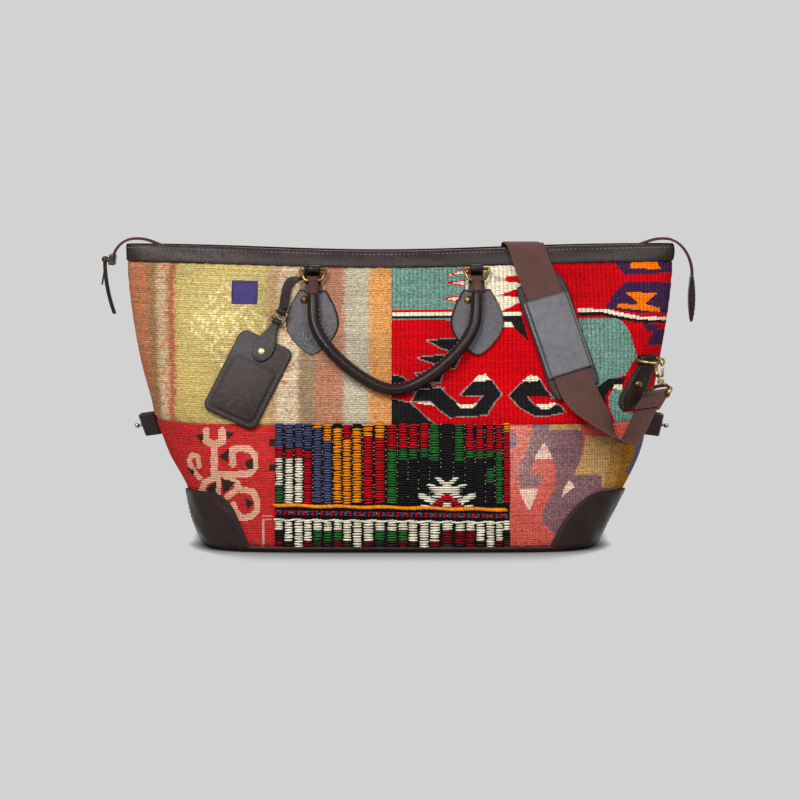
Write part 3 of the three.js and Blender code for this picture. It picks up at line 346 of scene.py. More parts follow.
def bar(path, reference, section, endless=False):
    """A section swept along a path; the reference is the direction that stays up."""
    path = np.asarray(path, float)
    before, after = np.roll(path, 1, 0), np.roll(path, -1, 0)
    if not endless:
        before[0], after[-1] = path[0], path[-1]
    tangent = unit(after - before)
    side = unit(np.cross(tangent, reference))
    lift = np.cross(side, tangent)
    section = np.broadcast_to(section, (len(path),) + np.shape(section)[-2:])
    rings = path[:, None] + side[:, None] * section[..., :1] + lift[:, None] * section[..., 1:]
    return rings_solid(rings, endless)


def moved(matrix, part):
    return put(matrix, part[0]), part[1], part[2]


def retag(part, tag):
    return part[0], part[1], np.full(len(part[1]), tag)


def circle(sides, radius):
    turn = np.linspace(0.0, 2.0 * math.pi, sides, endpoint=False)
    return np.stack([radius * np.cos(turn), radius * np.sin(turn)], -1)


def knob(profile, matrix, sides=20):
    """A turned shape from pairs of radius and height."""
    return moved(matrix, rings_solid([[(r * x, r * y, h) for x, y in circle(sides, 1.0)] for r, h in profile]))


def box_corners(half, tall):
    return [(-half, -tall), (half, -tall), (half, tall), (-half, tall)]


def rounded(corners, radius, steps=6):
    """A closed outline whose corners are cut off by curves."""
    corners = np.asarray(corners, float)
    share = np.linspace(0.0, 1.0, steps + 1)[:, None]
    out = []
    for i, corner in enumerate(corners):
        before, after = corners[i - 1], corners[(i + 1) % len(corners)]
        start = corner + unit(before - corner) * radius
        stop = corner + unit(after - corner) * radius
        out.append((1 - share) ** 2 * start + 2 * share * (1 - share) * corner + share ** 2 * stop)
    return np.concatenate(out)


def wire_loop(corners, radius, wire, matrix, steps=6):
    path = rounded([(x, y, 0.0) for x, y in corners], radius, steps)
    return moved(matrix, bar(path, (0, 0, 1), circle(12, wire), True))


def plate(outline, low, high, matrix, soft=0.8):
    """A flat plate with soft edges."""
    outline = np.asarray(outline, float)
    edge = unit(np.roll(outline, -1, 0) - np.roll(outline, 1, 0))
    normal = np.stack([edge[:, 1], -edge[:, 0]], -1)
    turns = np.linspace(0.0, math.pi / 2, 4)
    levels = [(low + soft * (1 - math.sin(t)), soft * (1 - math.cos(t))) for t in turns[::-1]]
    levels += [(high - soft * (1 - math.sin(t)), soft * (1 - math.cos(t))) for t in turns]
    rings = [np.column_stack([outline - normal * inset, np.full(len(outline), z)]) for z, inset in levels]
    return moved(matrix, rings_solid(rings))


def leather_roll(outer, inner, half, matrix, sides=24):
    """A rolled eye of leather, lying along X."""
    soft = 0.5
    profile = [(inner, -half), (outer - soft, -half), (outer, soft - half)]
    profile += [(outer, half - soft), (outer - soft, half), (inner, half)]
    rings = [[(h, r * x, r * y) for r, h in profile] for x, y in circle(sides, 1.0)]
    return moved(matrix, rings_solid(rings, True))


def eased(count):
    """Shares from 0 to 1 that lie closer together at both ends."""
    t = np.linspace(0.0, 1.0, count + 1)
    return 0.5 * t + 0.5 * (0.5 - 0.5 * np.cos(math.pi * t))


def shares(rows, columns):
    """Shares for a grid: 0 to 1 up it and -1 to 1 across it."""
    return eased(rows)[:, None], 2.0 * eased(columns)[None] - 1.0


def rounding(edge, width):
    """A quarter circle that rises from 0 at an edge to 1 at a width from it."""
    return np.sqrt(np.clip(1.0 - (1.0 - np.clip(edge / width, 0, 1)) ** 2, 0, 1))


def piece(name, parts, finishes, body, sharp=50.0, uv=None, dye=None, nodes=None):
    """Join parts into one mesh, finish it, hang it on its body, and hide the frame's part that it replaces."""
    mesh = bpy.data.meshes.new(name)
    points, faces, tags, base = [], [], [], 0
    for part_points, part_faces, part_tags in parts:
        points.append(part_points)
        faces += [[i + base for i in face] for face in part_faces]
        tags.append(part_tags)
        base += len(part_points)
    mesh.from_pydata((np.concatenate(points) * MM).tolist(), [], faces)
    mesh.polygons.foreach_set("material_index", np.concatenate(tags).astype(np.int32))
    for finish in finishes:
        mesh.materials.append(finish)
    if uv is not None:
        layer = mesh.uv_layers.new(name="weave")
        corner = np.empty(len(mesh.loops), np.int32)
        mesh.loops.foreach_get("vertex_index", corner)
        layer.data.foreach_set("uv", (uv[corner] * MM).astype(np.float32).ravel())
    if dye is not None:
        colour = mesh.color_attributes.new("dye", "FLOAT_COLOR", "CORNER")
        sides = np.array([len(face) for face in faces])
        dyed = np.column_stack([np.repeat(dye, sides, axis=0), np.ones(sides.sum())])
        colour.data.foreach_set("color", dyed.astype(np.float32).ravel())
    work = bmesh.new()
    work.from_mesh(mesh)
    bmesh.ops.recalc_face_normals(work, faces=work.faces)
    work.to_mesh(mesh)
    work.free()
    mesh.shade_smooth()
    mesh.set_sharp_from_angle(angle=math.radians(sharp))
    obj = bpy.data.objects.new(name, mesh)
    scene.collection.objects.link(obj)
    if body:
        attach(obj, body)
    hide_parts(*(nodes or [name]))
    return obj


print("mesh tools ready")

# %% [markdown]
# The finishes are all node materials. Kilim takes its colour from a dye written on each face,
# and its UV map is measured in metres, so that ribs and threads keep their real pitch.
# Leather has a pebbled grain from cells and noise, brass has dull spots, and webbing has a fine twill.

# %% Node helpers
WAVES_PER_PITCH = 0.314


def linear(rgb):
    c = np.asarray(rgb, float) / 255.0
    return np.where(c <= 0.04045, c / 12.92, ((c + 0.055) / 1.055) ** 2.4)


def rgba(rgb):
    return (*linear(rgb).tolist(), 1.0)


class Finish:
    """A Principled material, with short names for the nodes that feed it."""

    def __init__(self, name, colour, roughness, metal=0.0):
        self.material = bpy.data.materials.new(name)
        self.material.use_nodes = True
        self.tree = self.material.node_tree
        self.shader = self.tree.nodes["Principled BSDF"]
        for label, value in (("Base Color", rgba(colour)), ("Roughness", roughness), ("Metallic", metal)):
            self.shows(label, value)

    def node(self, kind, inputs=None, **settings):
        return add_node(self.tree, kind, inputs, **settings)

    def shows(self, label, value):
        feed(self.tree, self.shader, {label: value})

    def place(self, uv=False, stretch=(1, 1, 1), turn=0.0):
        source = self.node("ShaderNodeUVMap", uv_map="weave") if uv else self.node("ShaderNodeTexCoord")
        inputs = {"Vector": source.outputs["UV" if uv else "Object"], "Scale": stretch, "Rotation": (0.0, 0.0, turn)}
        return self.node("ShaderNodeMapping", inputs).outputs["Vector"]

    def noise(self, where, scale, detail=3.0):
        return self.node("ShaderNodeTexNoise", {"Vector": where, "Scale": scale, "Detail": detail}).outputs["Fac"]

    def bands(self, where, pitch, distortion, direction="X"):
        inputs = {"Vector": where, "Scale": WAVES_PER_PITCH / pitch, "Distortion": distortion, "Detail": 1.0}
        return self.node("ShaderNodeTexWave", inputs, wave_type="BANDS", bands_direction=direction).outputs["Fac"]

    def remap(self, value, low, high, start=0.3, stop=0.7):
        inputs = {"Value": value, "From Min": start, "From Max": stop, "To Min": low, "To Max": high}
        return self.node("ShaderNodeMapRange", inputs).outputs["Result"]

    def times(self, first, second):
        return maths(self.tree, "MULTIPLY", first, second)

    def plus(self, first, second):
        return maths(self.tree, "ADD", first, second)

    def dyed(self, amount):
        """The dye written on the mesh, shaded by a number that varies over the surface."""
        dye = self.node("ShaderNodeAttribute", attribute_name="dye").outputs["Color"]
        shaded = self.node("ShaderNodeVectorMath", {0: dye, "Scale": amount}, operation="SCALE")
        self.shows("Base Color", shaded.outputs["Vector"])

    def mixed(self, share, first, second):
        """A colour between two, by a share that varies over the surface."""
        mix = self.node("ShaderNodeMix", {"Factor": share, 6: rgba(first), 7: rgba(second)}, data_type="RGBA")
        self.shows("Base Color", mix.outputs[2])

    def bump(self, height, strength, distance):
        node = self.node("ShaderNodeBump", {"Height": height, "Strength": strength, "Distance": distance})
        self.shows("Normal", node.outputs["Normal"])


print("node helpers ready")

# %% Cloth finishes


def kilim_finish(name, rib_pitch, rib_gap, weft_pitch, weft_gap, melange):
    """Ribs run up the cloth and wefts across it; gaps say how dark the lines between them are."""
    f = Finish(name, (200, 120, 90), 0.92)
    where = f.place(uv=True)
    ribs = f.bands(where, rib_pitch, 0.5)
    wefts = f.bands(where, weft_pitch, 2.2, "Y")
    threads = f.noise(f.place(uv=True, stretch=(300, 700, 1)), 1.0, 3.0)
    streaks = f.noise(f.place(uv=True, stretch=(14, 420, 1)), 1.0, 2.0)
    patches = f.noise(where, 14.0, 2.0)
    fade = f.times(f.remap(streaks, 1.0 - 0.7 * melange, 1.0 + 0.5 * melange),
                   f.remap(patches, 1.0 - 0.5 * melange, 1.0 + 0.5 * melange))
    fade = f.times(fade, f.remap(threads, 1.0 - 1.3 * melange, 1.0 + melange))
    fade = f.times(fade, f.remap(ribs, 1.0 - rib_gap, 1.0, 0.02, 0.42))
    f.dyed(f.times(fade, f.remap(wefts, 1.0 - weft_gap, 1.0, 0.02, 0.5)))
    height = f.plus(f.times(ribs, 2.0 * rib_gap), f.times(wefts, 2.0 * weft_gap))
    f.bump(f.plus(height, f.times(threads, 0.8)), 0.5, 0.0009)
    f.shows("Specular IOR Level", 0.04)
    return f.material


def yarn_finish(name):
    f = Finish(name, (200, 120, 90), 0.85)
    fibre = f.noise(f.place(stretch=(220, 900, 1500)), 1.0, 3.0)
    f.dyed(f.remap(fibre, 0.66, 1.14))
    f.bump(fibre, 0.5, 0.0006)
    f.shows("Specular IOR Level", 0.1)
    return f.material


def cloth_finish(name, colour, pitch, depth, turn=0.0, uv=False):
    """A plain weave in one colour, on the UV map where the cloth bends."""
    f = Finish(name, colour, 0.88)
    where = f.place(uv=uv, turn=turn)
    weave = f.times(f.bands(where, pitch, 0.4), f.bands(where, pitch, 0.4, "Y" if uv else "Z"))
    patches = f.noise(where, 60.0, 3.0)
    deep = [0.72 * c for c in colour]
    pale = [min(1.2 * c + 6, 255) for c in colour]
    f.mixed(f.times(f.remap(weave, 0.25, 1.0, 0.0, 0.7), f.remap(patches, 0.6, 1.0)), deep, pale)
    f.bump(f.plus(weave, patches), depth, 0.0007)
    f.shows("Specular IOR Level", 0.25)
    return f.material


striped_weave = kilim_finish("striped_weave", 0.0027, 0.1, 0.0021, 0.36, 0.32)
hooked_weave = kilim_finish("hooked_weave", 0.0042, 0.34, 0.0019, 0.24, 0.26)
rose_weave = kilim_finish("rose_weave", 0.0029, 0.08, 0.0022, 0.44, 0.26)
dusk_weave = kilim_finish("dusk_weave", 0.0027, 0.26, 0.0020, 0.28, 0.34)
ground_weave = kilim_finish("ground_weave", 0.0048, 0.4, 0.0030, 0.3, 0.2)
float_yarn = yarn_finish("float_yarn")
zip_cloth = cloth_finish("zip_tape", (76, 34, 38), 0.0014, 0.4)
label_cloth = cloth_finish("label_cloth", (66, 54, 110), 0.0016, 0.4)
web_cloth = cloth_finish("webbing", (88, 58, 52), 0.0022, 0.7, 0.6, uv=True)
lining_cloth = cloth_finish("lining_cloth", (92, 74, 64), 0.0016, 0.3)
board_fibre = cloth_finish("board_fibre", (110, 92, 74), 0.0030, 0.3)
print("cloth finishes:", striped_weave.name, hooked_weave.name, rose_weave.name, dusk_weave.name, web_cloth.name)

# %% Leather, brass and thread


def leather_finish(name, deep, pale, roughness, grain=1.0, gloss=0.5, dents=2.4):
    """Worn leather: pebbled cells, pores, and creases that are paler than the rest."""
    f = Finish(name, deep, roughness)
    where = f.place()
    cells = f.node("ShaderNodeTexVoronoi", feature="DISTANCE_TO_EDGE")
    feed(f.tree, cells, {"Vector": where, "Scale": 620.0})
    pores = f.noise(where, 1700.0, 3.0)
    wear = f.noise(where, 24.0, 5.0)
    creases = f.noise(where, 150.0, 4.0)
    f.mixed(f.plus(f.remap(wear, 0.0, 0.6, 0.38, 0.72), f.remap(creases, 0.0, 0.4, 0.4, 0.75)), deep, pale)
    f.shows("Specular IOR Level", gloss)
    f.shows("Roughness", f.remap(wear, roughness - 0.1, roughness + 0.12))
    pebbles = f.remap(cells.outputs["Distance"], 0.0, 0.16 * grain, 0.0, 0.25)
    height = f.plus(pebbles, f.times(pores, 0.3 * grain))
    f.bump(f.plus(height, f.times(creases, dents)), 0.45, 0.0006)
    return f.material


def metal_finish(name, deep, pale, roughness):
    f = Finish(name, deep, roughness, 1.0)
    where = f.place()
    tarnish = f.noise(where, 160.0, 5.0)
    f.mixed(f.remap(tarnish, 0.0, 1.0, 0.38, 0.62), deep, pale)
    f.shows("Roughness", f.remap(tarnish, roughness + 0.14, roughness - 0.04))
    f.bump(f.noise(where, 900.0, 3.0), 0.08, 0.0004)
    return f.material


def thread_finish(name, colour):
    f = Finish(name, colour, 0.7)
    twist = f.noise(f.place(), 2400.0, 2.0)
    f.mixed(f.remap(twist, 0.0, 1.0), [0.7 * c for c in colour], colour)
    f.bump(twist, 0.3, 0.0003)
    return f.material


trim_leather = leather_finish("trim_leather", (30, 18, 16), (54, 38, 35), 0.38, 1.0, 0.24)
tab_leather = leather_finish("tab_leather", (56, 53, 57), (88, 85, 91), 0.33, 5.0, 0.6, 1.2)
sleeve_leather = leather_finish("sleeve_leather", (60, 58, 62), (96, 94, 100), 0.34, 1.4, 0.55, 1.8)
corner_leather = leather_finish("corner_leather", (25, 11, 10), (44, 24, 21), 0.32, 0.8, 0.26)
handle_leather = leather_finish("handle_leather", (21, 10, 9), (40, 23, 20), 0.26, 0.6, 0.22, 1.2)
tag_leather = leather_finish("tag_leather", (32, 22, 21), (52, 39, 38), 0.36, 0.8, 0.2, 1.4)
# Dark brown chape leather: the strap chapes' own colour. On the handle tabs it is painted shade, darkening the neck
# and roll, which are the patch's own hide in shadow behind the handle's end.
chape_leather = leather_finish("chape_leather", (22, 11, 9), (40, 23, 19), 0.34, 0.8, 0.24)
raw_edge = leather_finish("raw_edge", (30, 17, 15), (52, 32, 27), 0.6, 0.6, 0.2)
flesh_side = leather_finish("flesh_side", (72, 44, 41), (98, 64, 58), 0.8, 1.0, 0.2)
brass = metal_finish("aged_brass", (84, 64, 32), (158, 128, 74), 0.3)
ring_brass = metal_finish("ring_brass", (112, 92, 54), (196, 174, 122), 0.26)
pale_brass = metal_finish("pale_brass", (196, 178, 120), (238, 226, 176), 0.28)
dark_metal = metal_finish("dark_metal", (58, 50, 42), (98, 86, 70), 0.34)
nickel = metal_finish("nickel", (96, 94, 90), (168, 166, 160), 0.28)
zip_metal = metal_finish("zip_metal", (70, 54, 38), (112, 90, 62), 0.38)
thread_brown = thread_finish("thread_brown", (104, 88, 82))
# A pale thread. On the handle its paleness also stands in for the glints on the stitches, which is a painted
# highlight.
thread_pale = thread_finish("thread_pale", (138, 120, 110))
thread_dark = thread_finish("thread_dark", (40, 30, 28))
print("leather, brass and thread finishes made")

# %% [markdown]
# Stitches, float yarns and zip teeth repeat hundreds of times, so Geometry Nodes place them.
# We hand the tree a cloud of points. Each point knows which way its stitch runs, which way is out,
# how big it is and how it is dyed. The tree puts a small shape there, makes it real mesh and gives it a finish.

# %% A tree that sets small shapes on points
THREAD_DIP, THREAD_BLUNT = 0.7, 0.4
STAMP_SEED = 7


def blunt(tree, ball):
    """Push a ball's points outwards along X, so that it becomes a thread with blunt ends that dip."""
    position = tree.nodes.new("GeometryNodeInputPosition").outputs["Position"]
    x, y, z = add_node(tree, "ShaderNodeSeparateXYZ", {"Vector": position}).outputs
    root = maths(tree, "POWER", maths(tree, "MULTIPLY", maths(tree, "ABSOLUTE", x), 2.0), THREAD_BLUNT)
    pushed = maths(tree, "MULTIPLY", maths(tree, "SIGN", x), maths(tree, "MULTIPLY", root, 0.5))
    dip = maths(tree, "MULTIPLY", maths(tree, "POWER", root, 3.0), THREAD_DIP)
    place = add_node(tree, "ShaderNodeCombineXYZ", {"X": pushed, "Y": y, "Z": maths(tree, "SUBTRACT", z, dip)})
    thread = add_node(tree, "GeometryNodeSetPosition", {"Geometry": ball, "Position": place.outputs["Vector"]})
    return thread.outputs["Geometry"]


def stamp_tree(name, boxed):
    """A tree that sets a box or a thread on every point, turned and sized by what the point knows."""
    tree = bpy.data.node_groups.new(name, "GeometryNodeTree")
    sockets = {"Geometry": "Geometry", "Length": "Float", "Width": "Float", "Height": "Float", "Unevenness": "Float",
               "Finish": "Material"}
    for label, kind in sockets.items():
        tree.interface.new_socket(label, in_out="INPUT", socket_type="NodeSocket" + kind)
    tree.interface.new_socket("Geometry", in_out="OUTPUT", socket_type="NodeSocketGeometry")
    given = tree.nodes.new("NodeGroupInput").outputs

    def make(kind, result, inputs=None, **settings):
        return add_node(tree, kind, inputs, **settings).outputs[result]

    def stored(label):
        return make("GeometryNodeInputNamedAttribute", "Attribute", {"Name": label}, data_type="FLOAT_VECTOR")

    if boxed:
        shape = make("GeometryNodeMeshCube", "Mesh")
    else:
        shape = blunt(tree, make("GeometryNodeMeshUVSphere", "Mesh", {"Segments": 8, "Rings": 6, "Radius": 0.5}))
    along = make("FunctionNodeAlignRotationToVector", "Rotation", {"Vector": stored("along")}, axis="X")
    turned = make("FunctionNodeAlignRotationToVector", "Rotation", {"Rotation": along, "Vector": stored("out")},
                  axis="Z", pivot_axis="X")
    size = make("ShaderNodeCombineXYZ", "Vector", {"X": given["Length"], "Y": given["Width"], "Z": given["Height"]})
    size = make("ShaderNodeVectorMath", "Vector", {0: size, 1: stored("size")}, operation="MULTIPLY")
    low, high = (maths(tree, operation, 1.0, given["Unevenness"]) for operation in ("SUBTRACT", "ADD"))
    chance = make("FunctionNodeRandomValue", 1, {2: low, 3: high, "Seed": STAMP_SEED}, data_type="FLOAT")
    size = make("ShaderNodeVectorMath", "Vector", {0: size, "Scale": chance}, operation="SCALE")
    stamps = make("GeometryNodeInstanceOnPoints", "Instances", {
        "Points": given["Geometry"], "Instance": shape, "Rotation": turned, "Scale": size})
    real = make("GeometryNodeRealizeInstances", "Geometry", {"Geometry": stamps})
    soft = make("GeometryNodeSetShadeSmooth", "Geometry", {"Geometry": real, "Shade Smooth": not boxed})
    dressed = make("GeometryNodeSetMaterial", "Geometry", {"Geometry": soft, "Material": given["Finish"]})
    add_node(tree, "NodeGroupOutput", {"Geometry": dressed})
    return tree


yarn_tree = stamp_tree("set_yarns", False)
tooth_tree = stamp_tree("set_teeth", True)


def stamp(name, tree, body, slot, finish, points, along, out, sizes, size=(1, 1, 1), dye=None, uneven=0.05):
    """Set one shape on each point: sizes are Length, Width and Height in mm, size scales each one."""
    mesh = bpy.data.meshes.new(name)
    mesh.from_pydata((np.asarray(points) * MM).tolist(), [], [])
    count = len(points)
    known = {"along": along, "out": out, "size": size}
    for label, values in known.items():
        store = mesh.attributes.new(label, "FLOAT_VECTOR", "POINT")
        store.data.foreach_set("vector", np.broadcast_to(values, (count, 3)).astype(np.float32).ravel())
    if dye is not None:
        store = mesh.attributes.new("dye", "FLOAT_COLOR", "POINT")
        store.data.foreach_set("color", np.column_stack([dye, np.ones(count)]).astype(np.float32).ravel())
    obj = bpy.data.objects.new(name, mesh)
    scene.collection.objects.link(obj)
    setter = obj.modifiers.new("set", "NODES")
    setter.node_group = tree
    values = dict(zip(("Length", "Width", "Height"), (s * MM for s in sizes)), Unevenness=uneven, Finish=finish)
    for item in tree.interface.items_tree:
        if item.in_out == "INPUT" and item.name in values:
            setter[item.identifier] = values[item.name]
    graph = bpy.context.evaluated_depsgraph_get()
    done = bpy.data.meshes.new_from_object(obj.evaluated_get(graph))
    obj.modifiers.clear()
    obj.data = done
    done.name = name
    for label in known:
        if label in done.attributes:
            done.attributes.remove(done.attributes[label])
    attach(obj, body)


def every(line, pitch):
    """Points evenly along a line of points, with the direction there."""
    line = np.asarray(line, float)
    lengths = run_along(line)
    count = max(int(lengths[-1] / pitch), 1)
    marks = (np.arange(count) + 0.5) * lengths[-1] / count
    ahead, behind = (read_at(marks + step, lengths, line) for step in (0.6, -0.6))
    return read_at(marks, lengths, line), unit(ahead - behind + 1e-9), marks, lengths


seams = {}


def sew(body, thread, line, out, pitch=4.4):
    """Keep a row of stitches for later: a line, and the direction out of the leather along it."""
    out = np.broadcast_to(np.asarray(out, float), np.shape(line))
    at, along, marks, lengths = every(line, pitch)
    seams.setdefault((body, thread.name), []).append((at, along, unit(read_at(marks, lengths, out))))


print("trees:", yarn_tree.name, tooth_tree.name)

# %% [markdown]
# The patterns are drawn on a chart that hangs in front of the bag, in millimetres across and down.
# A chart holds outlines and thick strokes, each in one dye, and later ones lie over earlier ones.
# Every small face of the cloth asks the chart for its colour, so edges step like weaving does.

# %% Charts
CHART_MIDDLE, CHART_AIM = 400.0, 134.0
RISE_COS, RISE_SIN = math.cos(CAMERA_RISE), math.sin(CAMERA_RISE)
VIEW_REACH = 1000.0 * CAMERA_REACH
DYES = {
    "red": (202, 8, 18), "teal": (110, 147, 134), "cream": (238, 224, 196), "black": (30, 29, 31),
    "purple": (64, 38, 72), "orange": (250, 118, 10), "rust": (184, 116, 82), "olive": (156, 118, 82),
    "sage": (202, 174, 134), "brick": (178, 104, 74), "straw": (200, 177, 112), "moss": (190, 162, 92),
    "pinkish": (180, 124, 96), "stone": (186, 174, 150), "apricot": (216, 150, 88), "rose": (192, 46, 46),
    "beige": (216, 162, 134), "pine": (50, 42, 36), "navy": (78, 78, 116), "white": (236, 228, 204),
    "green": (42, 106, 44), "cherry": (190, 14, 28), "salmon": (206, 90, 78), "dusk": (130, 94, 98),
    "slate": (104, 94, 114), "tan": (190, 148, 94), "gold": (164, 110, 36), "ochre": (178, 130, 66),
    "blush": (234, 194, 174), "grey": (204, 150, 144), "warp": (24, 20, 22), "coral": (206, 92, 66),
    "butter": (244, 230, 172), "amber": (242, 144, 18), "ash": (146, 134, 124), "oat": (222, 198, 162),
    "fawn": (196, 158, 116), "umber": (158, 130, 102), "wine": (116, 14, 24), "sky": (120, 132, 176),
}
EVENLY_DYED = 0.07
MOTTLED = {"teal": 0.2, "purple": 0.2, "dusk": 0.13, "salmon": 0.12, "rose": 0.1, "black": 0.16}
loose = np.random.default_rng(5)


def to_chart(points):
    """Where the camera sees points of the bag on the chart."""
    x, y, z = points[..., 0], points[..., 1], points[..., 2] - CHART_AIM
    near = VIEW_REACH / (VIEW_REACH + y * RISE_COS - z * RISE_SIN)
    return CHART_MIDDLE + x * near, CHART_MIDDLE - (z * RISE_COS + y * RISE_SIN) * near


def from_chart(across, down):
    """The front skin's x and height that a chart position lies on."""
    x, z = across - CHART_MIDDLE, CHART_MIDDLE - down + CHART_AIM
    for _ in range(12):
        seen_across, seen_down = to_chart(skin(z, turn_at(z, x, FRONT)))
        x, z = x + (across - seen_across), z - (down - seen_down)
    return x, z


def within(outline, x, y):
    """Which positions lie inside an outline."""
    hit = np.zeros(np.shape(x), bool)
    for (x1, y1), (x2, y2) in zip(outline, outline[1:] + outline[:1]):
        if y1 != y2:
            hit ^= ((y1 > y) != (y2 > y)) & (x < (x2 - x1) * (y - y1) / (y2 - y1) + x1)
    return hit


def beside(path, width, x, y):
    """Which positions lie on a thick stroke."""
    hit = np.zeros(np.shape(x), bool)
    for (x1, y1), (x2, y2) in zip(path[:-1], path[1:]):
        dx, dy = x2 - x1, y2 - y1
        t = np.clip(((x - x1) * dx + (y - y1) * dy) / (dx * dx + dy * dy + 1e-9), 0, 1)
        hit |= np.hypot(x - x1 - t * dx, y - y1 - t * dy) < width / 2
    return hit


def block(x1, y1, x2, y2):
    return [(x1, y1), (x2, y1), (x2, y2), (x1, y2)]


def paint(chart, x, y, ground):
    """Dye every face by the last shape that holds it, a little unevenly, as hand-dyed wool is."""
    colour = np.empty(np.shape(x) + (3,))
    colour[:] = linear(DYES[ground])
    mottle = np.full(np.shape(x), MOTTLED.get(ground, EVENLY_DYED))
    for dye, shape in chart:
        hit = beside(shape[1:], shape[0], x, y) if isinstance(shape[0], (int, float)) else within(shape, x, y)
        colour[hit] = linear(DYES[dye])
        mottle[hit] = MOTTLED.get(dye, EVENLY_DYED)
    return colour * np.clip(1.0 + mottle * loose.standard_normal(np.shape(x)), 0.55, 1.45)[..., None]


def painted(shapes, ground):
    def chart(across, down):
        return paint(shapes, across, down, ground)
    return chart


def edged(dye, chart, width=2.2):
    """Put a thin line of another dye round every black shape of a chart."""
    for name, shape in chart:
        if name == "black":
            yield dye, [width, *shape, shape[0]]
        yield name, shape


print(len(DYES), "dyes")

# %% Red patch: flames, hooks and saw teeth
TEAL_FLAMES = [
    ("teal", block(392, 262, 466, 311)),
    ("cream", [(466, 265), (521, 265), (521, 312), (466, 312)]),
    ("red", [(443, 276), (460, 270), (480, 264), (486, 264), (470, 273)]),
    ("cream", [(449, 275), (460, 271.5), (470, 268), (466, 273)]),
    ("red", [(444, 282.5), (463, 280), (470, 283), (463, 286)]),
    ("cream", [(450, 282.5), (463, 281.5), (468, 283), (463, 284.5)]),
    ("red", [(443, 299), (455, 295), (464, 298), (455, 302)]),
    ("cream", [(448, 299), (455, 296.5), (462, 298), (455, 300.5)]),
    ("stone", block(494, 277, 506, 281.5)),
    ("red", [(505, 277), (521, 275), (521, 283), (505, 281.5)]),
    ("red", [(499, 295), (514, 289.5), (523, 292), (523, 298)]),
    ("stone", [(496, 295.5), (503, 293), (503, 297)]),
    ("red", [(500, 312), (518, 303), (523, 303), (523, 313)]),
    ("red", [(508, 264), (523, 271), (523, 264)]),
]
RULED_LINES = [
    ("red", block(392, 309.5, 452, 312)),
    ("cream", block(392, 312, 452, 315.6)),
    ("black", block(392, 315.6, 452, 318.6)),
    ("teal", block(392, 318.6, 452, 320)),
    ("cream", block(500, 312, 522, 316)),
    ("black", [(501, 315.6), (522, 315.6), (529, 341), (514, 327), (511, 322), (503, 321)]),
    ("cream", [(502, 321.5), (511, 322), (514, 326.5), (502, 327)]),
    ("cream", [(577, 308.6), (604, 308.6), (620, 312.6), (640, 316.4), (690, 317.4), (690, 320.6), (640, 319.6),
        (618, 316), (602, 312), (577, 312)]),
    ("black", [(577, 312), (602, 312), (618, 316), (640, 319.6), (690, 320.6), (690, 323.4), (638, 322.4),
        (616, 319), (600, 315.4), (577, 315.4)]),
]
SAW_TEETH = [
    ("black", [(427.6, 340.6), (462, 338.4), (462, 355), (441, 347.6)]),
    ("black", [(418, 357.8), (462, 353.2), (455, 368.6), (432, 362.6)]),
    ("black", [(415.6, 373.2), (444, 370.2), (440, 382), (425, 381.6)]),
    ("black", [(392, 375), (402, 377), (410, 385), (430, 385), (444, 388), (418, 391), (392, 391)]),
    ("black", [(392, 399), (410, 403), (430, 421), (436, 425), (392, 425)]),
    ("cream", [(409, 401.4), (430, 400.6), (437, 406), (425, 404.4)]),
]
HOOKS = [
    ("black", [(418, 390), (440, 388), (446, 394), (458, 404), (461, 409), (474, 409), (484, 396), (461, 395),
        (470, 386), (476, 380), (492, 380), (502, 394), (494, 404), (487, 415), (450, 417), (440, 410),
        (431, 401), (412, 401)]),
    ("cream", [(473, 381), (480, 375), (487, 374.5), (491, 380), (481, 382)]),
    ("cream", [(457, 404), (474, 404), (478, 402.6), (473, 409), (461, 409)]),
    ("black", [(510, 396), (520, 385), (527, 380), (540, 380), (545, 390), (553, 398), (527, 397), (535, 406),
        (541, 409), (553, 404), (560, 406), (565, 412), (545, 416), (535, 416), (520, 407)]),
    ("cream", [(523, 381), (530, 375), (537, 376), (541, 380), (530, 382)]),
    ("red", [(528, 397), (546, 396), (556, 402), (545, 404), (536, 402)]),
    ("cream", [(536, 404), (556, 403), (550, 408.6), (541, 409.4)]),
]
TEAL_HOOK = [
    ("teal", [(577, 318), (615, 318), (622, 322), (628, 330), (633, 345), (637, 357), (632, 362), (625, 375),
        (615, 378), (606, 383), (597, 386), (592, 391), (580, 391)]),
    ("black", [(592, 391), (607, 379), (626, 377), (622, 384), (610, 390), (606, 395), (606, 410), (616, 425),
        (600, 425), (595, 410), (597, 398)]),
    ("teal", [(608, 398), (614, 388), (622, 386), (624, 400), (634, 412), (630, 425), (617, 425), (610, 410)]),
    ("cream", block(613, 384.6, 622, 389)),
    ("red", block(622, 405, 635, 412)),
    ("purple", [(640, 322.6), (664, 325), (650, 333)]),
    ("purple", [(655, 330), (700, 326), (700, 344), (646, 344.6)]),
]
LILAC_BORDER = [
    ("purple", [(613, 258), (700, 256), (700, 270), (664, 273), (625, 275.4), (619, 268)]),
    ("orange", [(634, 258), (656, 258), (661, 269), (630, 268.4)]),
    ("purple", [(603, 308), (608, 302), (612, 294), (620, 286), (625, 282), (655, 281), (700, 288), (700, 312),
        (640, 313.4), (622, 310.6)]),
    ("orange", [(624, 292), (657, 293), (648, 301), (645, 304), (661, 308), (660, 312), (616, 307.6), (617, 303),
        (635, 305), (637, 302), (632, 298)]),
]
RED_CHART = TEAL_FLAMES + RULED_LINES + list(edged("ash", SAW_TEETH + HOOKS)) + TEAL_HOOK + LILAC_BORDER
print("red patch:", len(RED_CHART), "shapes")

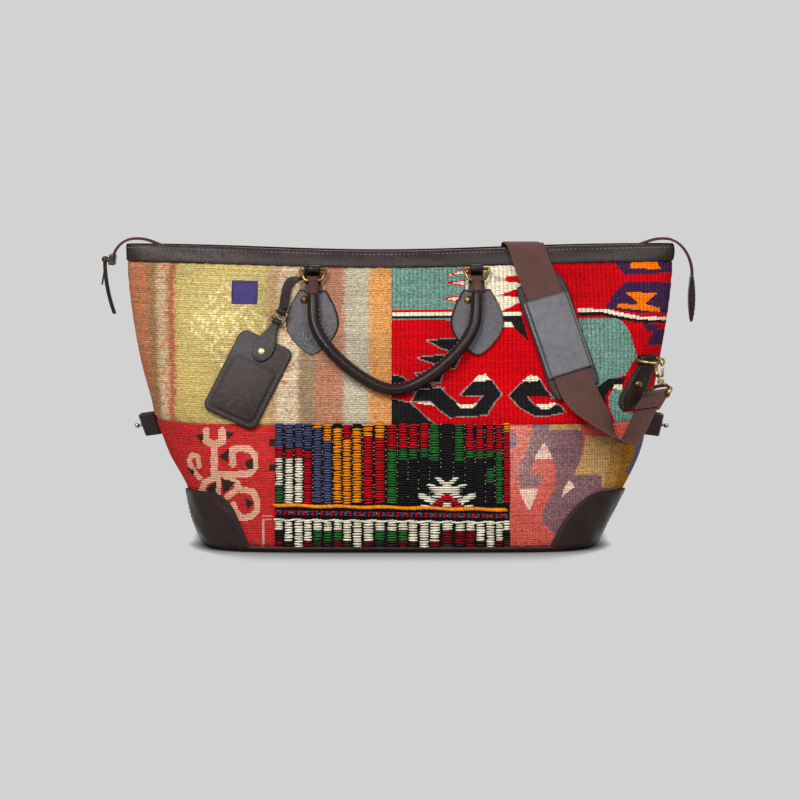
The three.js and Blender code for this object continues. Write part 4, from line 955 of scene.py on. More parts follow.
# %% Rose and dusk patches: ram's horns and stepped fields
ROSE_CHART = [
    ("beige", [7.5, (206, 431), (206, 441), (214, 445), (222, 441), (222, 431)]),
    ("beige", [7, (214, 446), (214, 474)]),
    ("beige", [7, (214, 474), (228, 475), (248, 474), (254, 468), (254, 455), (248, 449), (238, 448), (232, 450),
        (232, 464)]),
    ("beige", [5, (200, 478), (193, 470), (189, 461), (192, 455), (198, 457), (199, 466)]),
    ("beige", [6, (214, 478), (205, 482), (202, 490)]),
    ("beige", [6, (217, 478), (217, 495)]),
    ("beige", [6, (225, 477), (237, 484), (236, 490), (226, 497)]),
    ("beige", [6.5, (238, 489), (252, 492), (256, 500), (256, 511), (250, 517), (240, 518), (234, 511), (232, 505)]),
    ("pine", [(226, 432), (235, 433), (227, 441)]),
    ("pine", [(195, 435), (203, 433), (202, 444)]),
    ("pine", [(218, 457), (228, 449), (228, 463)]),
    ("pine", [(244, 462), (252, 458), (252, 470), (246, 469)]),
    ("pine", [(244, 498), (253, 503), (246, 510)]),
    ("pine", [(187, 467), (194, 470), (194, 477)]),
    ("pine", [(205, 490), (215, 481), (216, 493)]),
    ("pine", [(221, 479), (235, 482), (222, 495)]),
    ("pine", block(269, 439, 274, 447)),
    ("pine", block(269, 464, 274, 471)),
    ("grey", block(262, 515, 272, 517)),
    ("grey", block(262, 519, 272, 520.6)),
    ("grey", block(262, 520, 264, 549)),
]
DUSK_CHART = [
    ("slate", block(533, 422, 549, 433)),
    ("slate", block(508, 434, 516, 447)),
    ("tan", block(549, 422, 581, 432)),
    ("dusk", [(533, 430), (583, 430), (584, 450), (580, 465), (575, 475), (602, 475), (616, 492), (600, 497),
        (585, 506), (573, 520), (563, 536), (552, 532), (544, 522), (543, 512), (556, 488), (558, 470),
        (552, 456), (545, 443), (536, 457), (531, 474), (543, 476), (538, 488), (520, 488), (519, 470), (528, 445)]),
    ("salmon", [(536, 458), (552, 458), (557, 470), (556, 485), (548, 500), (541, 510), (538, 490), (544, 476),
        (530, 473)]),
    ("blush", [(545, 443), (551, 452), (553, 459), (535, 459), (539, 450)]),
    ("blush", [(519, 489), (539, 489), (535, 500), (530, 511), (525, 503)]),
    ("blush", [(571, 480), (576, 487), (563, 497), (566, 487)]),
    ("tan", [(586, 436), (700, 436), (700, 488), (602, 488), (602, 475), (575, 475), (581, 462), (585, 450)]),
    ("ochre", [(612, 436), (700, 436), (700, 488), (604, 488), (609, 462)]),
    ("gold", [(624, 436), (700, 436), (700, 488), (614, 488), (620, 462)]),
    ("slate", [(636, 438), (645, 438), (639, 462), (631, 475), (624, 472), (632, 458)]),
]
print("rose patch:", len(ROSE_CHART), "shapes, dusk patch:", len(DUSK_CHART))

# %% Striped patch: bands, flecks and a brocaded diamond
STRIPES = [
    (-400, "pinkish"), (60, "stone"), (92, "rust"), (150, "olive"), (160, "sage"), (171, "brick"), (179, "straw"),
    (271, "fawn"), (281, "oat"), (302, "umber"), (318, "pinkish"), (346, "stone"), (370, "apricot"),
]
MOSSY_STRIPE, MINGLING = 6, (-1.8, 0.0, 1.8)
WEFT_TALL, WEFT_ROWS = 2.1, 400
FLECKS = ((166.0, 4.0), (291.0, 7.0))
DIAMOND_ACROSS, DIAMOND_DOWN, DIAMOND_HALF, DIAMOND_TALL = 232.0, 327.0, 41.0, 46.0
DIAMOND_RINGS = ((0.94, 0.08), (0.6, 0.08), (0.26, 0.1))
DASH_WIDE, DASH_TALL = 3.8, 6.0


def striped_chart(across, down):
    """Stripes whose edges mingle over a few threads, sparse red flecks and a brocaded diamond."""
    row = (down / WEFT_TALL).astype(int) % WEFT_ROWS
    slip = np.convolve(loose.normal(0.0, 1.2, WEFT_ROWS), np.ones(4) / 4, "same")[row]
    mingled = across + slip + loose.normal(0.0, 0.8, across.shape)
    starts = [start for start, _ in STRIPES]
    wool = np.array([linear(DYES[dye]) for _, dye in STRIPES])
    last = len(STRIPES) - 1
    which = [np.clip(np.searchsorted(starts, mingled + d, "right") - 1, 0, last) for d in MINGLING]
    colour = sum(wool[stripe] for stripe in which) / 3.0
    colour *= np.clip(loose.normal(1.0, 0.09, across.shape), 0.75, 1.25)[..., None]
    mossy = 0.6 * (smooth(down, 300.0, 400.0) * (which[1] == MOSSY_STRIPE))[..., None]
    colour = colour * (1 - mossy) + linear(DYES["moss"]) * mossy
    for middle, half in FLECKS:
        swing = half * (np.abs((down / 13.0) % 2.0 - 1.0) * 2.0 - 1.0)
        fleck = (np.abs(mingled - middle - swing) < 1.7) & (loose.random(WEFT_ROWS)[row] < 0.4)
        colour[fleck] = 0.35 * colour[fleck] + 0.65 * linear(DYES["coral"])
    column = np.floor((across - DIAMOND_ACROSS) / DASH_WIDE)
    down_by = down - DIAMOND_DOWN + DASH_TALL / 2 * (column % 2)
    step = np.floor(down_by / DASH_TALL)
    ring = np.abs(column + 0.5) * DASH_WIDE / DIAMOND_HALF + np.abs(step + 0.5) * DASH_TALL / DIAMOND_TALL
    brocade = np.any([np.abs(ring - size) < width for size, width in DIAMOND_RINGS], axis=0)
    brocade &= np.abs(across - DIAMOND_ACROSS - DASH_WIDE * (column + 0.5)) < 1.5
    brocade &= np.abs(down_by - DASH_TALL * (step + 0.5)) < 2.3
    colour[brocade] = 0.4 * colour[brocade] + 0.6 * linear(DYES["butter"])
    return colour


def back_bands(dyes, width):
    """Plain bands for the patches at the back."""
    def chart(across, down):
        which = np.floor((across + loose.normal(0.0, 0.5, across.shape)) / width).astype(int) % len(dyes)
        return np.array([linear(DYES[d]) for d in dyes])[which] * loose.normal(1.0, 0.06, across.shape)[..., None]
    return chart


print("striped patch:", len(STRIPES), "stripes")

# %% [markdown]
# Each patch of kilim is a fine grid on the skin. Soft folds come from a few broad waves,
# and close to a seam the cloth dips and puckers, because the seam pulls it in.
# The inner side is a second grid, so the patch is a closed cloth of real thickness.

# %% Kilim patches
KILIM_THICK, KILIM_FOOT, KILIM_HEAD, SEAM_HEIGHT = 4.0, 4.3, 273.7, 121.0
LOWER, UPPER = (KILIM_FOOT, SEAM_HEIGHT - FIT / 2), (SEAM_HEIGHT + FIT / 2, KILIM_HEAD)
UPPER_SEAM, LEFT_SEAM, RIGHT_SEAM = -8.0, -121.0, 106.0
FAR = np.inf
FINE_CELL, STRIPED_CELL, BACK_CELL = 1.2, 1.5, 2.4


def folds(x, z):
    wave = 1.3 * np.sin(x / 47.0 + z / 66.0 + 0.6) + 0.9 * np.sin(x / 23.0 - z / 31.0)
    return wave * np.sin(math.pi * np.clip(z / BAG_HEIGHT, 0, 1)) ** 0.5


def parted(face, points):
    """Move a layer half a fit outwards, so that the two faces of the bag keep apart."""
    points[..., 1] += face * FIT / 2
    return points


def face_means(grid):
    return 0.25 * (grid[:-1, :-1] + grid[1:, :-1] + grid[:-1, 1:] + grid[1:, 1:])


def patch_grid(face, low, high, left, right, cell):
    """Heights and turns of a grid whose cells are about as large as asked."""
    rows = np.linspace(low, high, max(int((high - low) / cell), 2) + 1)
    middle = 0.5 * (low + high)
    span = skin(middle, np.linspace(turn_at(middle, left, face), turn_at(middle, right, face), 200))
    columns = int(run_along(span)[-1] / cell)
    turns = [spread(z, turn_at(z, left + FIT / 2, face), turn_at(z, right - FIT / 2, face), columns) for z in rows]
    return rows[:, None] + np.zeros(columns + 1), np.array(turns)


def kilim(name, face, heights, ends, chart, finish, cell, arc_from=None):
    """A patch whose chart is read in front of the bag, or along the cloth from a share of its length."""
    (low, high), (left, right) = heights, ends
    z, turn = patch_grid(face, low, high, left, right, cell)
    flat = skin(z, turn)
    along = np.array([run_along(row) for row in flat])
    edge = np.minimum(np.minimum(along, along[:, -1:] - along), np.minimum(z - low, high - z))
    relief = folds(flat[..., 0], z) * smooth(edge, 0.0, 26.0)
    relief += 0.45 * np.sin((flat[..., 0] + z) / 2.1) * np.exp(-edge / 6.0) - 1.3 * bell(edge, 0.0, 2.4)
    across, down = to_chart(flat)
    if arc_from is not None:
        across = CHART_MIDDLE + UPPER_SEAM + along - arc_from * along[:, -1:]
    elif right == FAR:
        edge_at = across.argmax(axis=1)
        reached = np.take_along_axis(along, edge_at[:, None], 1)
        beyond = np.arange(across.shape[1])[None] > edge_at[:, None]
        across = np.where(beyond, across.max(axis=1)[:, None] + along - reached, across)
    colour = chart(face_means(across), face_means(down)).reshape(-1, 3)
    part = sheet(parted(face, skin(z, turn, relief)), parted(face, skin(z, turn, relief - KILIM_THICK)))
    rim = len(part[1]) - 2 * len(colour)
    plain = np.tile(colour.mean(axis=0), (rim, 1))
    grid = np.stack([along, z], -1).reshape(-1, 2)
    obj = piece(name, [retag(part, 0)], [finish], "bag", 70.0,
                np.concatenate([grid, grid]), np.concatenate([colour, colour, plain]))
    area = float((np.diff(along, axis=1)[:-1] * np.diff(z, axis=0)[:, :-1]).sum()) * MM * MM


def dusk_chart(across, down):
    """The stepped fields, with pale threads in the wool at the upper left."""
    colour = paint(DUSK_CHART, across, down, "salmon")
    pale = smooth(570.0 - across, 0.0, 50.0) * smooth(515.0 - down, 0.0, 50.0)
    pale = pale * loose.uniform(0.0, 0.42, across.shape)
    return colour + pale[..., None] * (linear(DYES["blush"]) - colour)


rust_bands = back_bands(["rust", "sage", "brick", "straw", "olive", "pinkish"], 31.0)
teal_bands = back_bands(["teal", "cream", "red", "teal", "black", "teal"], 37.0)
brick_bands = back_bands(["brick", "rose", "tan", "brick", "navy"], 43.0)
kilim("kilim_striped", FRONT, UPPER, (-FAR, UPPER_SEAM), striped_chart, striped_weave, STRIPED_CELL, arc_from=1.0)
kilim("kilim_red", FRONT, UPPER, (UPPER_SEAM, FAR), painted(RED_CHART, "red"), hooked_weave, FINE_CELL)
kilim("kilim_rose", FRONT, LOWER, (-FAR, LEFT_SEAM), painted(ROSE_CHART, "rose"), rose_weave, FINE_CELL)
kilim("kilim_dusk", FRONT, LOWER, (RIGHT_SEAM, FAR), dusk_chart, dusk_weave, FINE_CELL)
kilim("back_kilim_left", BACK, UPPER, (-FAR, UPPER_SEAM), rust_bands, striped_weave, BACK_CELL, 1.0)
kilim("back_kilim_right", BACK, UPPER, (UPPER_SEAM, FAR), teal_bands, hooked_weave, BACK_CELL, 0.0)
kilim("back_kilim_lower", BACK, LOWER, (-FAR, FAR), brick_bands, dusk_weave, BACK_CELL, 0.5)
print("seven flat-woven patches")

# %% [markdown]
# The lower middle patch is woven with floats: fat loose yarns that skip over the warps in upright columns.
# We weave a dark ground first. Then each float is one point with its own dye, and the tree sets a yarn there.
# The chart for this patch is a list of blocks, read at the middle of every float.
# Below them run an amber cord, a row of knots and a white line, and a woven star stands over the cord.

# %% Float patch
COLUMNS = [279.2, 289, 299, 308.2, 318, 328, 338, 347.5, 357.5, 368.5, 380, 392, 403, 413, 424, 434.5, 447, 459.5,
           470, 480, 490, 499, 506.5]
FLOAT_TOP, FLOAT_FOOT, FLOAT_PITCH = 424.0, 549.0, 2.5
CORD_TOP, CORD_FOOT = 503.0, 521.0
FLOAT_SIZES = (1.0, 1.85, 2.4)
FLOAT_CHART = [
    ("navy", 270, 420, 334, 449), ("cherry", 270, 448, 303, 458), ("white", 270, 458, 303, 503),
    ("green", 270, 485, 283, 503), ("cherry", 303, 450, 312, 504), ("navy", 312, 428, 334, 503),
    ("amber", 312, 420, 334, 428), ("amber", 323, 420, 334, 440), ("amber", 333, 428, 363, 505),
    ("cherry", 343, 420, 353, 438), ("amber", 363, 420, 386, 437), ("cherry", 363, 437, 386, 505),
    ("cherry", 386, 420, 429, 448), ("cherry", 465, 420, 512, 453), ("green", 386, 448, 429, 459),
    ("green", 386, 459, 397.5, 506), ("green", 465, 451, 503, 459), ("green", 494.5, 453, 503, 506),
    ("green", 429, 420, 441, 460), ("green", 453, 420, 465, 460), ("cherry", 503, 434, 512, 506),
    ("amber", 503, 420, 512, 434), ("green", 485, 467, 495, 483), ("white", 270, 517, 512, 531),
    ("green", 312, 531, 343, 541), ("green", 374, 531, 408, 541), ("cherry", 440, 531, 474, 543),
    ("white", 283, 531, 312, 541), ("white", 293, 541, 303, 549), ("white", 343, 531, 374, 541),
    ("white", 353, 541, 363, 549), ("white", 408, 531, 440, 542), ("white", 418, 541, 429, 549),
    ("white", 474, 531, 503, 542), ("white", 485, 541, 495, 549),
]
STAR_MIDDLE, STAR_HALF, STAR_STEP = 446.4, 32.0, 0.5
STAR_LEAVES = [
    ("white", [(0, 482), (6.3, 477), (12.8, 477), (9, 481.4), (3, 486), (0, 488)]),
    ("white", [(0, 486.5), (6.3, 487), (13, 483.6), (20, 484.4), (15, 490), (16.6, 492), (6, 497), (0, 493)]),
    ("white", [(8, 495), (15, 496.5), (21, 493.5), (29, 494.2), (27, 499), (18, 503), (13, 504), (6.5, 499)]),
    ("white", [(14.5, 505.6), (18.5, 503.6), (26.4, 504), (25, 507)]),
    ("cherry", [(0, 493.4), (6, 497), (17, 505.8), (9, 507), (0, 500.4)]),
    ("white", [(0, 501), (3.4, 501.4), (4.4, 506), (0, 506)]),
]
rng = np.random.default_rng(11)


def float_ground(across, down):
    return np.tile(linear(DYES["warp"]), across.shape + (1,))


def star_spans(down):
    """The dyed stretches of the woven star on one row, to the right of its middle."""
    x = np.arange(0.0, STAR_HALF, STAR_STEP)
    dyes = np.full(len(x), "", dtype=object)
    for dye, outline in STAR_LEAVES:
        dyes[within(outline, x + 0.01, np.full(len(x), down))] = dye
    edges = np.flatnonzero(dyes[1:] != dyes[:-1]) + 1
    for part in np.split(np.arange(len(x)), edges):
        if dyes[part[0]]:
            yield x[part[0]], x[part[-1]] + STAR_STEP, dyes[part[0]]


def float_dye(column, middle, down):
    """The dye of one float. At the foot of the patch the reds are darker."""
    dye = "black"
    for name, *corners in FLOAT_CHART:
        if within(block(*corners), np.array(middle), np.array(down)):
            dye = name
    if down > 530 and dye == "cherry":
        return "wine"
    if down > 541 and dye == "black":
        return "pine" if column % 3 else "wine"
    return dye


def slant(start, drop, x):
    """A line across the patch that drops a little to the right."""
    return start + drop * (x - 273.0) / 236.0


def float_rows():
    """Every float: chart across, chart down, length, height, tilt, stand and dye."""
    widths = np.gradient(np.array(COLUMNS))
    for column, middle in enumerate(COLUMNS):
        for row in np.arange(FLOAT_TOP, FLOAT_FOOT, FLOAT_PITCH):
            wander = row + (column % 2) * 0.9 + rng.uniform(-0.3, 0.3)
            if CORD_TOP < wander < CORD_FOOT:
                continue
            dye = float_dye(column, middle, wander)
            long = widths[column] * rng.uniform(0.78, 0.92)
            yield middle + rng.uniform(-0.3, 0.3), wander, long, 1.0, rng.normal(0.0, 0.05), 0.9, dye
    for left, right in zip(COLUMNS[:-1], COLUMNS[1:]):
        for row in np.arange(FLOAT_TOP + 1.0, CORD_TOP, 4.2):
            if rng.random() < 0.7:
                between = 0.5 * (left + right) + rng.uniform(-0.2, 0.2)
                yield between, row + rng.uniform(-1.0, 1.0), 0.9, 0.45, 0.0, 0.6, "white"
    for down in np.arange(478.0, 507.0, 2.3):
        for start, stop, dye in star_spans(down):
            for side in (1, -1) if start else (0,):
                long = stop - start if side else 2.0 * stop
                yield STAR_MIDDLE + side * 0.5 * (start + stop), down, long + 0.8, 1.0, side * 0.1, 1.6, dye
    for x in np.arange(276.0, 506.0, 2.6):
        yield x, slant(505.0, 4.4, x) + 0.5 * math.sin(x / 7.0), 5.8, 1.3, -0.6, 1.6, "amber"
    for x in np.arange(276.0, 507.0, 3.4):
        yield x, slant(519.6, 2.8, x) + 0.6 * math.sin(x / 3.0), 4.8, 0.95, 0.25, 1.2, "white"
    for k, x in enumerate(np.arange(275.5, 507.0, 4.7)):
        down = slant(512.4, 3.6, x)
        for rise in (-1.5, 0.0, 1.5):
            yield x + rng.uniform(-0.3, 0.3), down + rise, 3.9, 0.75, 0.0, 0.8, ("cherry", "navy")[k % 2]
        yield x + 2.4, down + rng.uniform(-2.0, 2.0), 0.9, 0.5, 0.0, 1.0, ("white", "black", "sky")[k % 3]


kilim("kilim_float", FRONT, LOWER, (LEFT_SEAM, RIGHT_SEAM), float_ground, ground_weave, FINE_CELL)
floats = list(float_rows())
across, down, long, tall, tilt, proud = np.array([row[:6] for row in floats]).T
x, z = from_chart(across, down)
turn = turn_at(z, x, FRONT)
at = parted(FRONT, skin(z, turn, folds(x, z) + proud))
right, up = unit(onward(z, turn)), unit(upward(z, turn))
dye = np.array([linear(DYES[row[6]]) for row in floats]) * rng.uniform(0.72, 1.12, (len(floats), 1))
stamp("float_yarns", yarn_tree, "bag", "kilim_float", float_yarn, at, unit(right + tilt[:, None] * up),
      np.cross(right, up), FLOAT_SIZES, np.column_stack([long, tall, np.ones(len(floats))]), dye)
print(len(floats), "float yarns")

# %% [markdown]
# Leather trim is cut from hide about two millimetres thick. Its edge is cut raw, and shows the reddish core.
# We lay each piece on the skin as a grid that thins over its last millimetre, which rounds the edge.

# %% Leather laid on the skin
HIDE, RAW_RIM = 2.3, 1.7
CORNER_STAND, CORNER_HALF, CORNER_CURVE = 1.4, 40.0, 3.2
CORNER_TOP = KILIM_FOOT + 52.0


def hem(anchor, low, high, half, inset, lift):
    """A stitch line just inside the edge of a piece: up one side, over the head and down the other."""
    v = np.linspace(0.0, 1.0, 160)
    z = low + (high - low) * v
    keep = (half(v) > inset) & (z < high - inset) & (z > low + inset)
    z, reach = z[keep], half(v)[keep] - inset
    left = [(h, -r) for h, r in zip(z, reach)]
    top = [(z[-1], r) for r in np.linspace(-reach[-1], reach[-1], 24)[1:-1]]
    stops = np.array(left + top + [(h, r) for h, r in zip(z[::-1], reach[::-1])])
    turn = walk(stops[:, 0], anchor(stops[:, 0]), stops[:, 1])
    line = skin(stops[:, 0], turn, lift)
    return line, skin(stops[:, 0], turn, lift + 1.0) - line


def hide_on_skin(anchor, low, high, half, stand, thick, grid, wave, seam=None):
    """A leaf of hide round an anchor's turn, with its half width from foot to head, and perhaps a sewn hem."""
    v, u = shares(*grid)
    z = low + (high - low) * v
    reach = half(v)
    turn = walk(z + 0 * u, anchor(z) + 0 * u, u * reach)
    edge = np.minimum(reach * (1.0 - np.abs(u)), np.minimum(z - low, high - z))
    round_off = rounding(edge, 1.2)
    ripple = wave * np.sin(u * 9.0 + z / 5.0)
    lift = stand + 0.35 * thick + 0.65 * thick * round_off + ripple * round_off
    points, faces, tags = sheet(skin(z + 0 * u, turn, lift), skin(z + 0 * u, turn, stand))
    rim = face_means(edge).ravel() < RAW_RIM
    tags[: rim.size][rim] = 1
    if seam:
        thread, inset, pitch = seam
        sew("bag", thread, *hem(anchor, low, high, half, inset, stand + thick), pitch)
    return points, faces, tags


def corner_half(v):
    return CORNER_HALF * (1.0 - (0.97 * v) ** CORNER_CURVE) ** (1.0 / CORNER_CURVE)


def corner(face, side):
    def anchor(z):
        return corner_turn(z, face, side)
    return hide_on_skin(anchor, KILIM_FOOT, CORNER_TOP, corner_half, CORNER_STAND, HIDE, (40, 40), 0.25,
                        (thread_dark, 3.0, 4.4))


for face_name, face in FACES:
    for side_name, side in SIDES:
        piece(f"corner_{face_name}_{side_name}", [corner(face, side)], [corner_leather, raw_edge], "bag",
              60.0)
print("four corner pieces")

# %% Base and welt
BASE_THICK, BASE_PROUD = 4.0, 1.0
SOLE_STEPS = ((0.0, 1.6), (0.5, 0.5), (1.4, 0.0), (3.0, 0.0), (BASE_THICK, 0.4))
WELT_PROUD, WELT_RADIUS = 1.4, 1.9


def base_outline(height, proud):
    """The bag's outline at its foot, laid flat at a height."""
    points = skin(0.0, spread(0.0, -math.pi, math.pi, 240)[:-1], proud)
    points[:, 2] = height
    return points


sole = [base_outline(height, BASE_PROUD - inset) for height, inset in SOLE_STEPS]
welt = bar(base_outline(BASE_THICK, WELT_PROUD), (0, 0, 1), circle(10, WELT_RADIUS), True)
piece("base_panel", [rings_solid(sole), retag(welt, 1)], [trim_leather, corner_leather], "bag", 45.0)
print("base", np.ptp(sole[2][:, 0]).round(), "by", np.ptp(sole[2][:, 1]).round(), "mm")

# %% Bands along the mouth and the bare label
BAND_DEPTH, BAND_PROUD, BAND_INSIDE = 17.0, 1.2, 3.0
BAND_SEAMS = ((287.4, thread_pale), (276.4, thread_dark))
LABEL_X, LABEL_LOW, LABEL_HIGH, LABEL_HALF, LABEL_THICK = -152.0, 235.5, 258.5, 12.5, 0.8


def band(face):
    z = BAG_HEIGHT - BAND_DEPTH * (1.0 - eased(14))[:, None]
    turns = np.array([spread(h, face * math.pi, 0.0, 260) for h in z[:, 0]])
    round_off = rounding(np.minimum(z - z[0], z[-1] - z), 1.4)
    swell = np.sin(math.pi * (z - z[0]) / BAND_DEPTH)
    ripple = 0.5 * np.sin(skin(z, turns)[..., 0] / 13.0) * swell
    lift = BAND_PROUD + 0.9 * (swell ** 0.7 - 1.0) - 0.6 * (1.0 - round_off) + ripple * round_off
    return sheet(parted(face, skin(z, turns, lift)), parted(face, skin(z, turns, -BAND_INSIDE)))


def label_anchor(z):
    return turn_at(z, LABEL_X, FRONT)


def label_half(v):
    return LABEL_HALF + 0.5 * np.sin(3.0 * v)


for face_name, face in FACES:
    piece(f"band_{face_name}", [band(face)], [trim_leather, raw_edge], "bag", 60.0)
    for height, thread in BAND_SEAMS:
        turns = spread(height, face * math.pi * 0.995, face * math.pi * 0.005, 260)
        line = parted(face, skin(height, turns, BAND_PROUD - 0.3))
        sew("bag", thread, line, skin(height, turns, 9.0) - line, 4.2)

label = hide_on_skin(label_anchor, LABEL_LOW, LABEL_HIGH, label_half, FIT, LABEL_THICK, (16, 16), 0.08)
piece("label", [label], [label_cloth, label_cloth], "bag", 60.0)
sew("bag", thread_dark, *hem(label_anchor, LABEL_LOW, LABEL_HIGH, label_half, 1.6, FIT + LABEL_THICK + 0.1), 3.2)
print("bands and label")

# %% [markdown]
# The zip has two tapes with a row of metal teeth each. Past the ends of the mouth the tapes droop in a small arc.
# Teeth sit on a centre line, and every second one belongs to the other tape.

# %% Zip tapes and teeth
ZIP_RISE, ZIP_SUNK, TAPE_THICK = 4.0, 5.0, 1.2
TAIL_X, TAIL_HALF, TAIL_RADIUS, TAIL_REACH, TAIL_FALL = 262.0, 6.5, 23.0, 28.0, 36.0
RIB_STEPS, RIB_FOOT, RIB_TALL = (0.15, 1.6, 2.8), 3.2, 0.5
TOOTH_Y, TOOTH_PITCH, TOOTH_SIZES = 1.2, 2.8, (1.3, 2.6, 1.2)
MOUTH_HALF, MOUTH_LONG, MOUTH_CURVE = 11.0, 268.0, 3.2


def zip_tail(side, degrees, reach, fall):
    turn = np.radians(np.linspace(0.0, degrees, 25)[1:])
    x = side * (TAIL_X + reach * np.sin(turn))
    z = BAG_HEIGHT + ZIP_RISE - fall * (1.0 - np.cos(turn))
    return np.stack([x, z, np.full(24, TAIL_HALF)], -1)


def zip_line():
    """Stations along the zip: x, height and half width."""
    x = TAIL_X * np.sin(math.pi * np.linspace(-0.5, 0.5, 161))
    rise = smooth(np.abs(x), TAIL_X - 41.0, TAIL_X - 3.0)
    z = BAG_HEIGHT - ZIP_SUNK + (ZIP_SUNK + ZIP_RISE) * rise - sag(x, BAG_HEIGHT) * (1.0 - rise)
    inside = MOUTH_HALF * (1.0 - np.clip(np.abs(x) / MOUTH_LONG, 0, 1) ** MOUTH_CURVE) ** (1 / MOUTH_CURVE) - FIT
    blend = smooth(rise, 0.3, 0.7)
    mouth = np.stack([x, z, inside * (1 - blend) + TAIL_HALF * blend], -1)
    left, right = zip_tail(-1, 97.0, TAIL_RADIUS, TAIL_RADIUS), zip_tail(1, 90.0, TAIL_REACH, TAIL_FALL)
    return np.concatenate([left[::-1], mouth, right])


zip_at = zip_line()
zip_along = unit(np.gradient(zip_at[:, [0, 1]], axis=0))
zip_out = np.stack([-zip_along[:, 1], 0 * zip_along[:, 0], zip_along[:, 0]], -1)


def zip_point(y, lift):
    y = np.broadcast_to(y, len(zip_at))
    return np.stack([zip_at[:, 0], y, zip_at[:, 1]], -1) + zip_out * lift


for face_name, face in FACES:
    flat = [RIB_FOOT + (zip_at[:, 2] - RIB_FOOT) * share for share in (0.0, 0.5, 1.0)]
    columns = [(y, RIB_TALL) for y in RIB_STEPS] + [(y, 0.0) for y in flat]
    outer = np.stack([zip_point(face * y, TAPE_THICK / 2 + rib) for y, rib in columns], 1)
    inner = np.stack([zip_point(face * y, -TAPE_THICK / 2) for y, _ in columns], 1)
    piece(f"zip_{face_name}", [retag(sheet(outer, inner), 0)], [zip_cloth], "bag", 40.0)
    at, along, marks, lengths = every(zip_point(face * TOOTH_Y, TAPE_THICK / 2 + RIB_TALL), TOOTH_PITCH)
    if face == BACK:
        at = at + along * TOOTH_PITCH / 2
    stamp(f"zip_{face_name}_teeth", tooth_tree, "bag", "brass", zip_metal, at, along,
          read_at(marks, lengths, zip_out), TOOTH_SIZES, uneven=0.0)
print("zip of", len(at), "teeth a side")

# %% Zip end tab, slider and pulls
TAB_X = TAIL_X + TAIL_REACH
TAB_TOP = BAG_HEIGHT + ZIP_RISE - TAIL_FALL - FIT
TAB_LONG, TAB_LEAF = 46.0, 3.3
SLIDER_TURN = math.radians(84.0)
SLEEVE_Z = TAIL_RADIUS + 0.6
BAIL_Z = SLEEVE_Z + 7.2
SLIDER_RINGS = ((-4.6, 8.2, 2.9), (-5.0, 7.9, 2.6), (-5.0, 7.4, 2.1), (5.0, 7.4, 2.1), (5.0, 7.9, 2.6),
                (4.6, 8.7, 3.4), (0.0, 8.3, 3.1), (-4.0, 8.7, 3.4))
RING_Y, PULL_RING, PULL_WIRE, PULL_LEAN = 2.6, 2.6, 0.7, math.radians(10.0)
PULL_LONG, PULL_EYE = 52.0, 3.0


def tab_bulge(v):
    return TAB_LEAF * (0.4 + 0.6 * np.sin(math.pi * v))


def zip_end_tab():
    v, u = shares(30, 14)
    foot = np.sqrt(np.clip(1 - np.clip((0.12 - v) / 0.13, 0, 1) ** 2, 0, 1))
    half = TAIL_HALF * (0.8 + 0.35 * smooth(v, 0.0, 0.5)) * foot
    edge = np.minimum(half * (1 - np.abs(u)), TAB_LONG * np.minimum(v, 1 - v))
    thick = tab_bulge(v) * (0.45 + 0.55 * rounding(edge, 3.0))
    y, z = u * half, TAB_TOP - TAB_LONG * (1.0 - v) + 0 * u
    return sheet(*(np.stack([TAB_X + sign * thick, y, z], -1) for sign in (1.0, -1.0)))


def slider_ring(x, half, tall):
    box = rounded(box_corners(half, tall), 1.2, 4)
    return np.column_stack([np.full(len(box), x), box[:, 0], box[:, 1] + SLEEVE_Z])


def leather_pull():
    v, u = shares(40, 10)
    half = 2.3 + 0.9 * smooth(v, 0.05, 0.3)
    edge = np.minimum(half * (1 - np.abs(u)), PULL_LONG * (1 - v) + 0 * u)
    thick = 0.7 + 1.1 * rounding(edge, 1.2)
    y, z = u * half, -(PULL_EYE * 0.8 + PULL_LONG * v) + 0 * u
    return sheet(*(np.stack([sign * thick + 9.0 * v * v, y, z], -1) for sign in (1.0, -1.0)))


piece("zip_end_tab", [zip_end_tab()], [trim_leather, raw_edge], "bag", 60.0)
drops = np.linspace(4.0, 40.0, 24)
for y in (-4.0, 4.0):
    line = np.column_stack([TAB_X + tab_bulge(1.0 - drops / TAB_LONG), np.full(24, y), TAB_TOP - drops])
    sew("bag", thread_brown, line, (1, 0, 0))

c, s = math.cos(SLIDER_TURN), math.sin(SLIDER_TURN)
slider_place = basis((c, 0, s), (0, 1, 0), (-s, 0, c), (-TAIL_X, 0, BAG_HEIGHT + ZIP_RISE - TAIL_RADIUS))
slider_body = rings_solid([slider_ring(*ring) for ring in SLIDER_RINGS], True)
leg = [(8.0, SLEEVE_Z + 2.4), (7.8, BAIL_Z - 1.6), (6.6, BAIL_Z)]
bail_path = [(0, -y, z) for y, z in leg] + [(0, 0, BAIL_Z)] + [(0, y, z) for y, z in leg[::-1]]
bail = bar(bail_path, (1, 0, 0), circle(12, 1.0))
slider_parts = [moved(slider_place, part) for part in (slider_body, bail)]
piece("zip_slider", slider_parts, [dark_metal], "slider", 40.0)

bail_at = put(slider_place, [(0, 0, BAIL_Z)])[0]
ring_z = bail_at[2] - (PULL_RING - 1.0 - PULL_WIRE - FIT)
ring_path = [(bail_at[0] + across, RING_Y, ring_z + rise) for across, rise in circle(32, PULL_RING)]
pull_ring = bar(ring_path, (0, 1, 0), circle(10, PULL_WIRE), True)
piece("zip_pull_ring", [pull_ring], [dark_metal], "pull")

